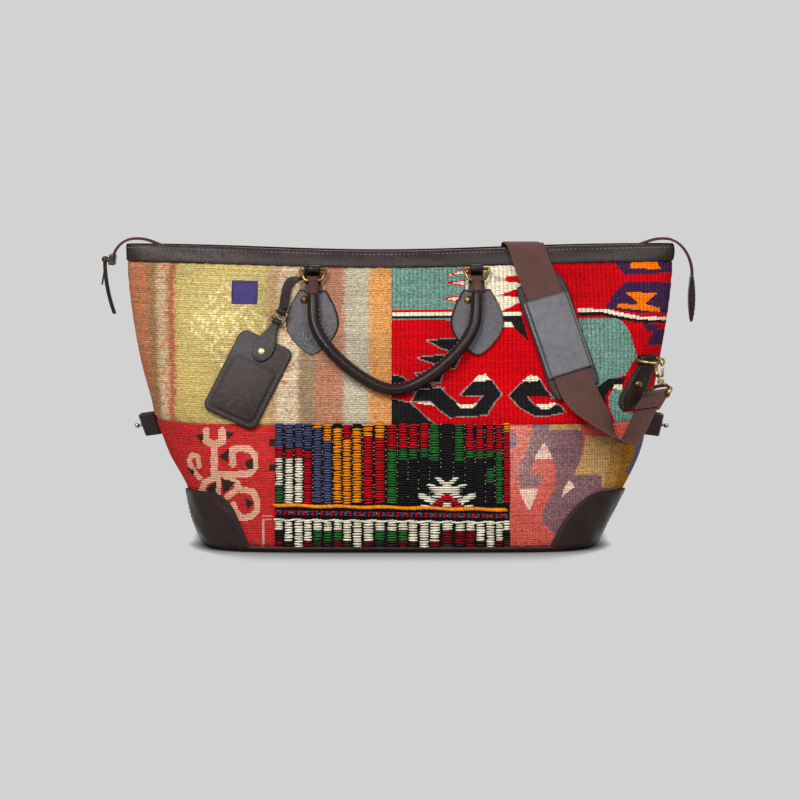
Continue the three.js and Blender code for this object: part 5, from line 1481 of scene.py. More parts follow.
c, s = math.cos(PULL_LEAN), math.sin(PULL_LEAN)
tab_place = basis((0, 1, 0), (s, 0, c), (c, 0, -s), (bail_at[0], RING_Y, ring_z - PULL_RING - PULL_WIRE - FIT))
tab_shape = rounded([(-2.5, 0), (-2.5, -22), (2.5, -22), (2.5, 0)], 1.7, 5)
piece("zip_pull_tab", [plate(tab_shape, -0.7, 0.7, tab_place, 0.35)], [dark_metal], "pull", 40.0)

pull_place = shift(bail_at[0], RING_Y - 2.5 - FIT - 3.2, bail_at[2])
pull_eye = leather_roll(PULL_EYE, 1.6, 2.3, basis((0, 1, 0), (-1, 0, 0), (0, 0, 1)))
piece("zip_leather_pull", [moved(pull_place, part) for part in (leather_pull(), pull_eye)],
      [handle_leather, raw_edge], "pull", 60.0)
print("slider and pulls, bail at", bail_at.round(1))

# %% [markdown]
# Each handle hangs from two brass rings, and each ring from a spade-shaped tab that is sewn and riveted on.
# The handle is leather rolled round a cord. Its sewn edge stands up as a ridge on the inner side,
# and its ends are flattened, so that the pinkish flesh side shows where they fold round the ring.

# %% Handle tabs
HANDLE_CENTRE, HANDLE_SPAN = -5.0, 80.0
RING_HEIGHT, RING_STAND, RING_WIRE = BAG_HEIGHT - 23.0, 7.5, 1.6
RING_HALF, RING_LOW, RING_DEPTH = 13.0, 8.0, 12.0
RING_CORNERS = [(-RING_HALF, 0), (RING_HALF, 0), (RING_LOW, -RING_DEPTH), (-RING_LOW, -RING_DEPTH)]
ROLL_INNER, ROLL_OUTER, ROLL_HALF = 2.2, 4.2, 6.6
SPADE_TOP, SPADE_TALL, SPADE_HALF, SPADE_TAPER = BAG_HEIGHT - 40.0, 64.0, 26.0, 13.0
TAB_NECK = [(6.6, 1), (-6.6, 1), (-6.6, -6), (-9, -23), (9, -23), (6.6, -6)]
TAB_RIVET_Z, TAB_RIVET_X = BAG_HEIGHT - 51.0, -8.5


def ring_x(side):
    return HANDLE_CENTRE + side * HANDLE_SPAN


def ring_frame(face, side):
    """The frame of one ring. Both rings of a face share their directions, because they turn on one axis."""
    frames = [frame_on(RING_HEIGHT, turn_at(RING_HEIGHT, ring_x(end), face)) for end in (-1, 1)]
    left, right = frames[0][:3, 3], frames[1][:3, 3]
    across = unit(-face * (right - left))
    up = frames[0][:3, 1] + frames[1][:3, 1]
    up = unit(up - across * np.dot(up, across))
    return basis(across, up, np.cross(across, up), left if side < 0 else right)


def spade(v):
    lower = SPADE_HALF * np.clip(1.0 - (1.0 - np.minimum(2 * v, 1.0)) ** 1.8, 0, 1) ** 0.8
    upper = SPADE_HALF - SPADE_TAPER * np.maximum(2 * v - 1, 0.0) ** 1.6
    return np.maximum(np.where(v < 0.5, lower, upper), 0.5)


def dome(matrix, radius=4.0, proud=2.6):
    arc = [(radius * math.cos(t), 0.3 + (proud - 0.3) * math.sin(t)) for t in np.linspace(0, 1.5, 8)]
    return knob([(radius, -0.5)] + arc + [(0.02, proud)], matrix, 24)


def rivet(z, turn):
    return dome(frame_on(z, turn) @ shift(z=0.95 * (FIT + HIDE)))


def neck(outline, thick, matrix):
    return plate(rounded(outline, 1.4, 4), FIT, FIT + thick, matrix, 0.7)


def handle_tab(face, side):
    def anchor(z):
        return turn_at(z, ring_x(side), face)
    place = ring_frame(face, side)
    patch = hide_on_skin(anchor, SPADE_TOP - SPADE_TALL, SPADE_TOP, spade, FIT, HIDE, (44, 34), 0.2,
                         (thread_brown, 2.6, 4.0))
    roll = leather_roll(ROLL_OUTER, ROLL_INNER, ROLL_HALF, place @ shift(z=RING_STAND))
    stud = rivet(TAB_RIVET_Z, walk(TAB_RIVET_Z, anchor(TAB_RIVET_Z), TAB_RIVET_X))
    # The neck and roll are the same hide as the patch; slot 3 gives them the darker chape leather as painted shade
    # from the handle's end.
    return [patch, retag(neck(TAB_NECK, 3.3, place), 3), retag(roll, 3), retag(stud, 2)]


for face_name, face in FACES:
    for side_name, side in SIDES:
        piece(f"handle_tab_{face_name}_{side_name}", handle_tab(face, side),
              [tab_leather, raw_edge, brass, chape_leather], "bag", 50.0)
        ring = wire_loop(RING_CORNERS, 2.6, RING_WIRE, ring_frame(face, side) @ shift(z=RING_STAND), 8)
        piece(f"{face_name}_ring_{side_name}", [ring], [brass], f"{face_name}_rings")
print("four tabs and four rings")

# %% Handles
HANDLE_RADIUS, HANDLE_RIDGE, HANDLE_SIDES = 5.4, 1.3, 28
HANDLE_LOW, HANDLE_SHOULDER = BAG_HEIGHT - 138.0, BAG_HEIGHT - 68.0
HANDLE_BOW, HANDLE_TUCK = 2.0 / 1.5, 4.0
END_HALF, END_WALL, END_TALL, FLESH_LONG = 5.0, 1.3, 2.6, 12.0


def curve_through(stops, t):
    """A smooth line through stops: a centripetal spline, read at shares of its own parameter."""
    stops = np.asarray(stops, float)
    ghost = np.concatenate([[2 * stops[0] - stops[1]], stops, [2 * stops[-1] - stops[-2]]])
    t = np.asarray(t) * (len(stops) - 1.0)
    k = np.clip(t.astype(int), 0, len(stops) - 2)
    p0, p1, p2, p3 = (ghost[k + i] for i in range(4))
    w = (t - k)[:, None]
    gap = [np.sqrt(np.linalg.norm(b - a, axis=1))[:, None] for a, b in ((p0, p1), (p1, p2), (p2, p3))]
    gap[1] = np.where(gap[1] < 1e-4, 1.0, gap[1])
    gap[0] = np.where(gap[0] < 1e-4, gap[1], gap[0])
    gap[2] = np.where(gap[2] < 1e-4, gap[1], gap[2])
    m1 = ((p1 - p0) / gap[0] - (p2 - p0) / (gap[0] + gap[1]) + (p2 - p1) / gap[1]) * gap[1]
    m2 = ((p2 - p1) / gap[1] - (p3 - p1) / (gap[1] + gap[2]) + (p3 - p2) / gap[2]) * gap[1]
    return p1 + m1 * w + (3 * (p2 - p1) - 2 * m1 - m2) * w ** 2 + (2 * (p1 - p2) + m1 + m2) * w ** 3


def handle_stops(face):
    """From the left ring down round the bow that lies on the bag, and up to the right ring."""
    turn = math.pi * (1.0 - np.linspace(0, 1, 13))
    c, s = np.cos(turn), np.sin(turn)
    x = HANDLE_CENTRE + (HANDLE_SPAN - HANDLE_TUCK) * np.sign(c) * np.abs(c) ** HANDLE_BOW
    z = HANDLE_SHOULDER - (HANDLE_SHOULDER - HANDLE_LOW) * np.abs(s) ** HANDLE_BOW
    on_cloth, on_tab = HANDLE_RADIUS + 1.6, HANDLE_RADIUS + FIT + HIDE + 2.0
    proud = on_cloth + (on_tab - on_cloth) * smooth(z, HANDLE_LOW, HANDLE_LOW + SPADE_TALL / 2)
    leg = [(0, -RING_DEPTH - ROLL_INNER - END_WALL / 2, RING_STAND),
           (0, -RING_DEPTH - ROLL_OUTER - 8.0, RING_STAND + 2.2)]
    left, right = (put(ring_frame(face, side), leg) for side in (-1, 1))
    return np.concatenate([left, skin(z, turn_at(z, x, face), proud), right[::-1]])


def handle(face, body):
    path = curve_through(handle_stops(face), np.linspace(0.0, 1.0, 220))
    lengths = run_along(path)
    inward = np.minimum(lengths, lengths[-1] - lengths)
    soft = np.hanning(61)[1:-1] / np.hanning(61).sum()
    relaxed = np.stack([np.convolve(np.pad(path[:, k], 29, "edge"), soft, "valid") for k in range(3)], -1)
    path += smooth(inward, 45.0, 100.0)[:, None] * (relaxed - path)
    full = smooth(inward, 0.0, 17.0)
    ridge = HANDLE_RIDGE * smooth(inward, 16.0, 34.0)
    half = END_HALF + (HANDLE_RADIUS - END_HALF) * full
    tall = END_TALL + (HANDLE_RADIUS - END_TALL) * full
    turn = np.linspace(0.0, 2 * math.pi, HANDLE_SIDES, endpoint=False)
    side = half[:, None] * np.cos(turn) - ridge[:, None] * bell(turn, math.pi, 0.3)
    section = np.stack([-face * side, tall[:, None] * np.sin(turn)], -1)
    outwards = unit((0, face, 0.45))
    points, faces, tags = bar(path, outwards, section)
    ring_of = np.minimum(np.arange(len(faces) - 2) // HANDLE_SIDES, len(path) - 2)
    tags[: len(ring_of)] = inward[ring_of] < FLESH_LONG
    eyes = [leather_roll(ROLL_INNER + END_WALL, ROLL_INNER, END_HALF,
                         ring_frame(face, end) @ shift(0, -RING_DEPTH, RING_STAND)) for end in (-1, 1)]
    tangent = unit(np.gradient(path, axis=0))
    to_side = unit(np.cross(tangent, outwards))
    to_out = np.cross(to_side, tangent)
    line = path + face * to_side * (HANDLE_RADIUS + 0.7) + to_out * 1.0
    keep = inward > 26.0
    # Pale thread along the handle: partly real thread colour, partly a painted highlight for the stitches' glints.
    sew(body, thread_pale, line[keep], to_out[keep] + 0.4 * face * to_side[keep], 4.6)
    return [(points, faces, tags)] + [retag(eye, 1) for eye in eyes]


for face_name, face in FACES:
    name = f"{face_name}_handle"
    piece(name, handle(face, name), [handle_leather, flesh_side], name, 60.0)
print("two handles")

# %% [markdown]
# The luggage tag hangs from the left front ring: a doubled strap, a small buckle, a stitched card with a pocket
# and a teardrop flap with a stud. All of it is drawn in the tag's own frame, which leans on the bag.

# %% Luggage tag
TAG_X, TAG_Z, TAG_LEAN = -147.0, 163.0, math.radians(24.0)
TAG_WIDE, TAG_TALL, TAG_THICK = 57.0, 88.0, 5.0
BUCKLE_WIRE, BUCKLE_INNER, BUCKLE_OUTER, BUCKLE_STAND = 1.1, 1.7, 3.3, TAG_THICK + FIT
BUCKLE_Y, BUCKLE_HALF, BUCKLE_TALL = TAG_TALL / 2 + 30.0, 6.4, 11.0
STRAP_HALF, STRAP_THICK, EYE_HALF, LOOP_HALF = 4.5, 3.4, 1.0, 4.2
STRAP_LEAVES = ((-1.0, -0.04), (0.04, 1.0))
FLAP_HALF, FLAP_NECK, FLAP_STAND = 11.0, 4.2, 4.2
c, s = math.cos(TAG_LEAN), math.sin(TAG_LEAN)
tag_base = frame_on(TAG_Z, float(turn_at(TAG_Z, TAG_X, FRONT)))
tag_place = tag_base @ basis((c, -s, 0), (s, c, 0), (0, 0, 1))
tag_out = aim(tag_place, (0, 0, 1))


def tag_loop(y):
    """A rolled eye of the tag's leather on one bar of the buckle."""
    return leather_roll(BUCKLE_OUTER, BUCKLE_INNER, LOOP_HALF, tag_place @ shift(0, y, BUCKLE_STAND))


def tag_strap():
    ring = ring_frame(FRONT, -1)
    eye_x = -(ROLL_HALF + FIT + EYE_HALF)
    from_ring = [(eye_x, -3.4, RING_STAND - ROLL_OUTER + 1), (eye_x - 4.4, -6, 2.4), (eye_x - 15, -RING_DEPTH, 2.6)]
    to_buckle = put(tag_place, [(0, BUCKLE_Y + BUCKLE_OUTER - 0.2, BUCKLE_STAND)])
    share = np.linspace(0.0, 1.0, 48)
    path = curve_through(np.concatenate([put(ring, from_ring), to_buckle]), share)
    half = EYE_HALF + (STRAP_HALF - EYE_HALF) * smooth(9.0 * share, 3.0, 6.0)
    box = rounded(box_corners(1, 1), 0.4, 3)
    leaves = []
    for low, high in STRAP_LEAVES:
        rise = (0.5 * (high + low) + 0.5 * (high - low) * box[:, 1]) * STRAP_THICK / 2
        section = np.stack([half[:, None] * box[:, 0], np.tile(rise, (len(path), 1))], -1)
        leaves.append(bar(path, tag_out, section))
    eye = leather_roll(ROLL_OUTER, ROLL_INNER, EYE_HALF, ring @ shift(eye_x, 0, RING_STAND))
    return [retag(leaves[0], 1), leaves[1], eye, tag_loop(BUCKLE_Y)]


def tag_card():
    w, h = TAG_WIDE / 2, TAG_TALL / 2
    pocket = block(-w + 6, -h + 6, w - 6, h - 26)
    for inset, head, lift, thread in ((3.0, h - 3.0, 3.9, thread_brown), (8.4, h - 28.4, 5.3, thread_dark)):
        ring = rounded(block(-w + inset, -h + inset, w - inset, head), 6.5, 6)
        line = put(tag_place, np.column_stack([ring, np.full(len(ring), lift)]))
        sew("tag", thread, np.concatenate([line, line[:1]]), tag_out, 3.6)
    layers = [plate(rounded(box_corners(w, h), 9.0, 8), FIT, FIT + 3.6, tag_place, 1.0),
              plate(rounded(pocket, 7.0, 8), 3.7, 5.3, tag_place, 0.7)]
    for _, _, tags in layers:
        tags[:-2] = 1
    return layers


def tag_flap():
    h = TAG_TALL / 2
    foot, bar_y = h - 24.0, BUCKLE_Y - BUCKLE_TALL
    head = bar_y - BUCKLE_INNER - 0.8
    v, u = shares(40, 16)
    y = foot + (head - foot) * v
    lower = FLAP_HALF * np.sqrt(np.clip(1.0 - np.clip((h - 10.0 - y) / (h - 10.0 - foot), 0, 1) ** 2, 0.004, 1))
    half = np.where(y < h - 8.0, lower, FLAP_HALF - (FLAP_HALF - FLAP_NECK) * smooth(y, h - 8.0, bar_y - 4.0))
    round_off = rounding(np.minimum(half * (1 - np.abs(u)), y - foot), 1.0)
    bottom = FLAP_STAND + (BUCKLE_STAND - 0.95 - FLAP_STAND) * smooth(y, h, head)
    bottom += 1.2 * smooth(h - 20.0 - y, 0.0, 6.0)
    top = bottom + 0.6 + 1.3 * round_off
    leaf = sheet(*(np.stack([u * half, y + 0 * u, z + 0 * u], -1) for z in (top, bottom)))
    stud = dome(tag_place @ shift(0, foot + 10.0, 6.1), 3.6, 1.8)
    return [moved(tag_place, leaf), tag_loop(bar_y), retag(stud, 2)]


piece("tag_strap", tag_strap(), [tag_leather, flesh_side], "bag", 50.0)
buckle = wire_loop(block(-BUCKLE_HALF, 0, BUCKLE_HALF, -BUCKLE_TALL), 1.6, BUCKLE_WIRE,
                   tag_place @ shift(0, BUCKLE_Y, BUCKLE_STAND))
piece("tag_buckle", [buckle], [brass], "tag")
piece("tag_card", tag_card(), [tag_leather, raw_edge], "tag", 45.0)
piece("tag_flap", tag_flap(), [tag_leather, raw_edge, pale_brass], "tag", 50.0)
print("luggage tag leaning", round(math.degrees(TAG_LEAN)), "degrees")

# %% [markdown]
# A leather loop with a ball stud sits on each end of the bag, where the sides can be drawn in.

# %% Side loops
LOOP_Z, LOOP_LEAN, LOOP_WIDE, LOOP_THICK, STUD_STAND = 112.0, -0.15, 11.0, 1.5, 19.3
LOOP_PATH = [(-9.5, 0.0, 1.8), (9.5, 0.0, 1.8), (8.5, 0.0, 17.5), (-8.5, 0.0, 17.5)]
BALL, BALL_HIGH = 2.6, 5.0
STUD = [(BALL, 0.0), (2.2, 0.5), (1.4, 1.0), (1.3, 2.4)]
STUD += [(BALL * math.cos(t), BALL_HIGH + BALL * math.sin(t)) for t in np.linspace(-0.95, 1.5, 10)]
STUD += [(0.02, BALL_HIGH + BALL)]
for side_name, side in SIDES:
    place = frame_on(LOOP_Z, math.pi if side < 0 else 0.0)
    place[:3, 2] = unit((side, 0.0, LOOP_LEAN))
    box = rounded(box_corners(LOOP_WIDE, LOOP_THICK), 0.9, 4)
    loop = bar(rounded(LOOP_PATH, 3.4, 8), (0, 1, 0), box[:, ::-1], True)
    piece(f"side_loop_{side_name}", [moved(place, loop)], [trim_leather], "bag", 50.0)
    stud = knob(STUD, place @ shift(z=STUD_STAND), 20)
    piece(f"side_stud_{side_name}", [stud], [nickel], "bag", 60.0)
print("two side loops")

# %% [markdown]
# The strap is clipped to the front right and back left corners: a riveted leather chape, a D-ring, a snap hook
# with a sprung gate, a wire loop and the sewn end of the webbing. Every one is drawn in the frame of its chape.

# %% Strap anchors
CHAPE_TOP, CHAPE_TALL, CHAPE_HALF, CHAPE_TAPER, CHAPE_ROUND = 176.0, 44.0, 14.5, 4.0, 0.4
CHAPE_NECK = [(9.5, 1), (-9.5, 1), (-4, -12), (13, -12)]
D_HEIGHT, D_STAND, D_HALF, D_DEPTH, D_TILT = CHAPE_TOP + 4.0, 6.5, 13.0, 20.0, math.radians(72.0)
D_CORNERS = [(-D_HALF, 0), (D_HALF, 0), (D_HALF, -10.0), (5.85, -D_DEPTH), (-5.85, -D_DEPTH), (-D_HALF, -10.0)]
HOOK_WIRE, HOOK_HALF, HOOK_STEM, GATE = 1.8, 5.6, 20.0, 1.3
COLLAR = [(2.6, -2.0), (3.4, -1.5), (3.4, 1.5), (2.6, 2.0)]
WEB_WIDE, WEB_THICK, WEB_END, BAR_REACH = 36.0, 2.2, 14.0, 11.0
WEB_EYE = HOOK_WIRE + 0.6
c, s = math.cos(D_TILT), math.sin(D_TILT)
d_place = basis((1, 0, 0), (0, c, -s), (0, s, c), (0, 0, D_STAND))
d_reach = put(d_place, [(0, -D_DEPTH, 0)])[0]
strap_pull = unit((-0.67, -0.74, 0.0))
loop_head = d_reach + np.array([0.0, -HOOK_STEM - FIT - HOOK_WIRE, 0.0])
strap_bar = loop_head + BAR_REACH * strap_pull


def anchor_turn(z, face, side):
    return walk(z, corner_turn(z, face, side), -12.0)


def anchor_frame(face, side):
    return frame_on(D_HEIGHT, float(anchor_turn(D_HEIGHT, face, side)))


def chape_half(v):
    foot = 1.0 - (1.0 - np.maximum(v, 0.004) / CHAPE_ROUND) ** 2
    upper = CHAPE_HALF - CHAPE_TAPER * np.clip((v - CHAPE_ROUND) / (1.0 - CHAPE_ROUND), 0, 1) ** 1.4
    return np.where(v < CHAPE_ROUND, CHAPE_HALF * np.sqrt(np.clip(foot, 0, 1)), upper)


def chape(face, side):
    def anchor(z):
        return walk(z, anchor_turn(z, face, side), 0.25 * (z - CHAPE_TOP + CHAPE_TALL / 2))
    place, rivet_z = anchor_frame(face, side), CHAPE_TOP - 20.0
    patch = hide_on_skin(anchor, CHAPE_TOP - CHAPE_TALL, CHAPE_TOP, chape_half, FIT, HIDE, (34, 26), 0.1,
                         (thread_brown, 2.4, 3.6))
    roll = leather_roll(ROLL_OUTER, ROLL_INNER, 9.5, place @ shift(z=D_STAND))
    return [patch, neck(CHAPE_NECK, 2.5, place), roll, retag(rivet(rivet_z, float(anchor(rivet_z))), 2)]


def snap_hook():
    """A bent wire from the collar round the D-ring, open where the gate closes it."""
    top = RING_WIRE + HOOK_WIRE + FIT
    bend = [(0, -HOOK_STEM), (0, -0.75 * HOOK_STEM), (-0.82 * HOOK_HALF, -0.55 * HOOK_STEM),
            (-HOOK_HALF, -0.2 * HOOK_STEM), (-0.8 * HOOK_HALF, 0.45 * top), (0, top), (0.8 * HOOK_HALF, 0.45 * top),
            (HOOK_HALF, -0.17 * HOOK_STEM)]
    path = curve_through(np.array([(0.0, y, z) for z, y in bend]) + d_reach, np.linspace(0.0, 1.0, 60))
    collar_place = shift(*d_reach) @ basis((1, 0, 0), (0, 0, 1), (0, -1, 0), (0, 2.0 - HOOK_STEM, 0))
    return [bar(path, (1, 0, 0), circle(12, HOOK_WIRE)), knob(COLLAR, collar_place, 20)]


def hook_gate():
    foot = np.array([0, -0.69 * HOOK_STEM, HOOK_WIRE + GATE + FIT + 0.2]) + d_reach
    head = np.array([0, -0.17 * HOOK_STEM - GATE - FIT - 0.6, HOOK_HALF - 0.2]) + d_reach
    path = [foot + (head - foot) * t for t in (0, 0.04, 0.96, 1)]
    return bar(path, (1, 0, 0), np.stack([circle(12, GATE * s) for s in (0.7, 1, 1, 0.7)]))


def strap_loop():
    half = WEB_WIDE / 2 + HOOK_WIRE + 1.6
    rim = [(0, -8), (0, 8), (6.05, half), (BAR_REACH, half), (BAR_REACH, -half), (6.05, -half)]
    corners = [loop_head + strap_pull * along + np.array([0.0, 0.0, up]) for along, up in rim]
    return bar(rounded(corners, 2.2, 6), np.cross(strap_pull, (0, 0, 1)), circle(12, HOOK_WIRE), True)


def web_end(place, body):
    """The webbing folded round the loop's bar and sewn to itself."""
    fold_place = basis((0, 0, 1), (0, 1, 0), (-1, 0, 0), strap_bar)
    fold = leather_roll(WEB_EYE + WEB_THICK, WEB_EYE, WEB_WIDE / 2, fold_place)
    side = unit(np.cross((0, 0, 1), strap_pull))
    v, u = np.linspace(0, 1, 12)[:, None, None], np.linspace(-0.5, 0.5, 20)[None, :, None]
    along = strap_bar + strap_pull * (WEB_EYE + 0.9 + (WEB_THICK - 0.9 + WEB_END) * v)
    along = along + np.array([0, 0, WEB_WIDE]) * u
    double = sheet(along + side * 2.4, along - side * 2.4)
    ladder = strap_bar + strap_pull * (WEB_EYE + WEB_THICK + 9.0)
    for turn in (1.0, -1.0):
        line = put(place, [ladder + side * 2.5 * turn + np.array([0, 0, d]) for d in np.linspace(-14, 14, 12)])
        sew(body, thread_dark, line, aim(place, side * turn), 3.6)
    return [moved(place, retag(part, 0)) for part in (fold, double)]


for name, face, side in (("front", FRONT, 1), ("back", BACK, -1)):
    place, body = anchor_frame(face, side), f"strap_ring_{name}"
    piece(f"strap_chape_{name}", chape(face, side), [chape_leather, raw_edge, brass], "bag", 50.0)
    piece(body, [wire_loop(D_CORNERS, 3.4, RING_WIRE, place @ d_place, 8)], [ring_brass], body)
    piece(f"snap_hook_{name}", [moved(place, part) for part in snap_hook()], [ring_brass], body, 50.0)
    piece(f"hook_gate_{name}", [moved(place, hook_gate())], [ring_brass], f"gate_{name}", 50.0)
    piece(f"strap_loop_{name}", [moved(place, strap_loop())], [ring_brass], body)
    end = web_end(place, body)
    uv = np.concatenate([points for points, _, _ in end])[:, [0, 2]]
    piece(f"strap_end_{name}", end, [web_cloth], body, 50.0, uv=uv)
print("two strap anchors")

# %% [markdown]
# The shoulder strap is one length of webbing. It runs from the front right hook through the leather pad,
# over the mouth, hangs down the back and comes up to the back left hook.
# Its two ends are pieces of their own.

# %% Webbing
ON_EDGE = WEB_WIDE / 2 + 3 * FIT + 1.6
FLAT_STAND = WEB_THICK / 2 + 2 * FIT
ON_PAD = FLAT_STAND + 3.2 + 6 * FIT
PAD_X, PAD_Z, PAD_ACROSS = 153.0, 205.0, (0.955, 0.295, 0)
MOUTH_X, END_BEND = 121.0, 62.0


def web_start(face, side):
    place = anchor_frame(face, side)
    reach = WEB_EYE + WEB_THICK + WEB_END + 2 * FIT
    across = aim(place, (0, 0, face))
    return [(put(place, [strap_bar + strap_pull * d])[0], across) for d in (reach, reach + 5.0)]


def web_stop(face, x, z, stand, across):
    """A stop on the skin: where the webbing's middle is, and which way its width lies."""
    place = frame_on(z, float(turn_at(z, x, face)))
    return put(place, [(0, 0, stand)])[0], aim(place, across)


def web_hang(face, share, rise, stand, across):
    """A stop given by shares of the bag's half length and height."""
    z = rise * BAG_HEIGHT
    return web_stop(face, share * float(half_length(z, share)), z, stand, across)


def web_stops():
    """The route of the webbing, from the front right hook to the back left one."""
    y = MOUTH_DEPTH + BAND_PROUD + WEB_THICK
    over = BAG_HEIGHT + WEB_THICK - float(sag(MOUTH_X, BAG_HEIGHT))
    stops = web_start(FRONT, 1)
    stops += [web_hang(FRONT, *stop) for stop in (
        (0.872, 0.347, ON_EDGE, (0, 0.1, -1)), (0.7879, 0.4089, 0.85 * ON_EDGE, (0.62, 0.35, -0.7)),
        (0.7329, 0.4639, 0.5 * ON_EDGE, (0.88, 0.36, -0.3)))]
    stops += [web_stop(FRONT, PAD_X + x, PAD_Z + z, ON_PAD, PAD_ACROSS) for x, z in ((19, -54), (0, 0), (-13, 39))]
    stops.append(web_stop(FRONT, 130, BAG_HEIGHT - 21, ON_PAD + BAND_PROUD, (0.98, 0.2, 0)))
    stops += [((125, -y - 3, BAG_HEIGHT - 4), (0.99, 0.1, 0.1)), ((123, 2 - y, over), (1, 0.1, 0)),
              ((MOUTH_X, 0, over + 1), (1, 0.05, 0)), ((120, y - 2, over), (1, 0, 0)),
              ((119, y + 3, BAG_HEIGHT - 4), (1, 0, 0))]
    stops.append(web_stop(BACK, 121, BAG_HEIGHT - 26, FLAT_STAND + BAND_PROUD + 2, (-1, 0, 0)))
    stops += [web_hang(BACK, *stop) for stop in (
        (0.4637, 0.756, FLAT_STAND + 1, (-1, 0, 0)), (0.4782, 0.5842, FLAT_STAND + 4, (-0.98, 0, 0.15)),
        (0.4639, 0.4124, 0.7 * ON_EDGE, (-0.75, 0.1, 0.65)), (0.3602, 0.2612, ON_EDGE, (-0.25, 0.1, 0.95)),
        (0.1294, 0.1856, ON_EDGE, (0, 0, 1)), (-0.2146, 0.1787, ON_EDGE, (0, 0, 1)),
        (-0.5619, 0.2268, ON_EDGE, (0, 0, 1)), (-0.8072, 0.3093, ON_EDGE, (0.2, -0.05, 0.97)))]
    stops += web_start(BACK, -1)[::-1]
    return np.array([point for point, _ in stops], float), np.array([across for _, across in stops], float)


stop_points, stop_across = web_stops()
fine = np.linspace(0.0, 1.0, 4001)
route = curve_through(stop_points, fine)
route_length = run_along(route)
total = float(route_length[-1])


def share_at(distance):
    return np.interp(distance, route_length, fine)


def stations(t):
    """Middle, across and out of the webbing at shares of its route."""
    ahead, behind = (curve_through(stop_points, np.clip(t + step, 0, 1)) for step in (1e-4, -1e-4))
    along = unit(ahead - behind)
    across = curve_through(stop_across, t)
    across = unit(across - along * np.sum(across * along, axis=1, keepdims=True))
    return curve_through(stop_points, t), across, unit(np.cross(across, along))


def ribbon(t, side, lift):
    point, across, out = stations(t)
    return point[:, None] + across[:, None] * side[..., None] + out[:, None] * lift[..., None]


def webbing(name, start, stop, body=None):
    count = int((stop - start) / 4.0)
    run = np.linspace(start, stop, count + 1)
    t, u = share_at(run), 2.0 * eased(16)[None] - 1.0
    edge = rounding((1 - np.abs(u)) * WEB_WIDE / 2, 1.2)
    lift = (WEB_THICK / 2) * (0.35 + 0.65 * edge) + 0 * t[:, None]
    side = u * WEB_WIDE / 2 + 0 * t[:, None]
    part = sheet(ribbon(t, side, lift), ribbon(t, side, -lift))
    grid = np.stack([side, run[:, None] + 0 * side], -1).reshape(-1, 2)
    obj = piece(name, [retag(part, 0)], [web_cloth], body, 60.0, uv=np.concatenate([grid, grid]),
                nodes=["strap_webbing"])
    return obj


webbing("strap_webbing", END_BEND, total - END_BEND, "bag")
for name, root, tip in (("front", END_BEND, 0.0), ("back", total - END_BEND, total)):
    obj = webbing(f"strap_bend_{name}", min(root, tip), max(root, tip))
    ends = curve_through(stop_points, share_at(np.array([root, tip]))) * MM
    tuple(ends[0])
    tuple(ends[1])
    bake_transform(obj)
print("webbing", round(total), "mm long")

# %% Pad and its sleeve
PAD_LONG, PAD_WIDE, PAD_THICK, PAD_HEM = 120.0, 52.0, 3.2, 3.4
SLEEVE_LONG, SLEEVE_THICK, SLEEVE_CLEAR, SLEEVE_SEAM = 80.0, 1.6, WEB_WIDE / 2 + 2 * FIT, 20.9
PAD_LIFT = -FLAT_STAND
pad_target = skin(PAD_Z, turn_at(PAD_Z, PAD_X, FRONT), WEB_THICK)
pad_middle = float(route_length[np.linalg.norm(route - pad_target, axis=1).argmin()])


def pad():
    v, u = shares(60, 30)
    half = PAD_WIDE / 2 * (1 - 0.07 * np.sin(math.pi * v) - 0.16 * np.abs(2 * v - 1) ** 8)
    edge = np.minimum(half * (1 - np.abs(u)), PAD_LONG * np.minimum(v, 1 - v))
    puff = rounding(edge, 1.6)
    t = share_at(pad_middle + PAD_LONG * (v[:, 0] - 0.5))
    outer = ribbon(t, u * half, PAD_LIFT - 1.0 * (1 - puff) - 0.4 * bell(edge, PAD_HEM, 0.9))
    inner = ribbon(t, u * half, PAD_LIFT - PAD_THICK + 1.0 * (1 - puff))
    point, across, out = stations(t)
    keep = PAD_LONG * np.minimum(v, 1 - v)[:, 0] > 3.0
    for sign in (-1, 1):
        reach = sign * (half - PAD_HEM)
        sew("bag", thread_brown, (point + across * reach + out * PAD_LIFT)[keep], out[keep], 4.2)
    return sheet(outer, inner)


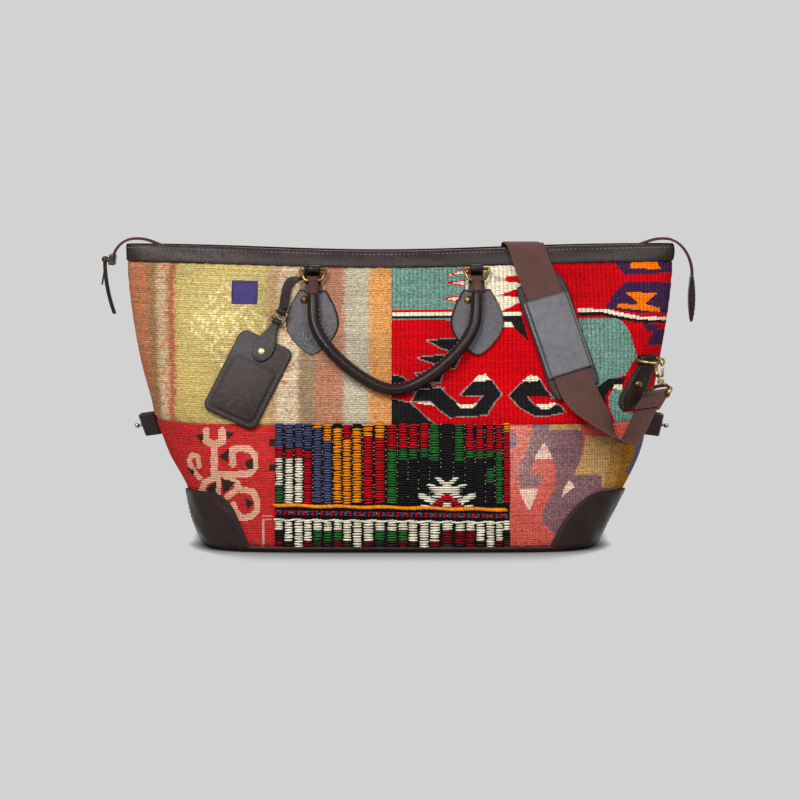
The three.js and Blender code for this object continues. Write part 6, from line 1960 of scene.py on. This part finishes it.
def sleeve():
    v, u = eased(50)[:, None], np.linspace(-1, 1, 41)[None]
    side = u * (SLEEVE_CLEAR + SLEEVE_THICK + 2.5) + 0 * v
    low, high = PAD_LIFT + 2 * FIT, FLAT_STAND
    over = 1.0 - smooth(np.abs(side), SLEEVE_CLEAR + SLEEVE_THICK - 0.9, SLEEVE_CLEAR + SLEEVE_THICK + 0.5)
    under = 1.0 - smooth(np.abs(side), SLEEVE_CLEAR - 0.2, SLEEVE_CLEAR + 0.6)
    t = share_at(pad_middle + SLEEVE_LONG * (v[:, 0] - 0.5))
    edge = np.minimum(SLEEVE_LONG * np.minimum(v, 1 - v), 3.0)
    crown = 1.2 * np.cos(u * math.pi / 2) * (0.4 + 0.6 * np.sin(math.pi * v)) - 0.3
    outer = ribbon(t, side, low + (high - low) * over + SLEEVE_THICK + crown - 0.8 * np.exp(-edge / 0.7))
    return sheet(outer, ribbon(t, side, low + (high - low) * under))


pad_piece = piece("strap_pad", [pad()], [tag_leather, raw_edge], "bag", 60.0)
piece("strap_sleeve", [sleeve()], [sleeve_leather, raw_edge], "bag", 60.0)
point, across, out = stations(share_at(pad_middle + np.linspace(-37.0, 37.0, 36)))
for sign in (-1, 1):
    sew("bag", thread_brown, point + across * sign * SLEEVE_SEAM + out * 1.2, out, 4.0)
print("pad", PAD_LONG, "by", PAD_WIDE, "mm")

# %% [markdown]
# All the stitch rows were kept as lines while the leather was made. Now each thread on each body becomes one piece.

# %% Stitches
STITCH_SIZES = (3.0, 0.95, 0.8)
STITCH_SLOTS = {"bag": "leather_dark", "strap_ring_front": "webbing", "strap_ring_back": "webbing"}
for (body, thread), lines in seams.items():
    at, along, out = (np.concatenate([line[k] for line in lines]) for k in range(3))
    stamp(f"stitches_{body}_{thread}", yarn_tree, body, STITCH_SLOTS.get(body, "leather_handle"),
          bpy.data.materials[thread], at, along, out, STITCH_SIZES)
    print(body, thread, len(at), "stitches")

# %% [markdown]
# The lining and the base board stay as the frame made them, with cloth and fibre finishes.

# %% Finish
for name, finish in (("lining", lining_cloth), ("base_board", board_fibre)):
    mesh = bpy.data.objects[name].data
    mesh.materials.clear()
    mesh.materials.append(finish)
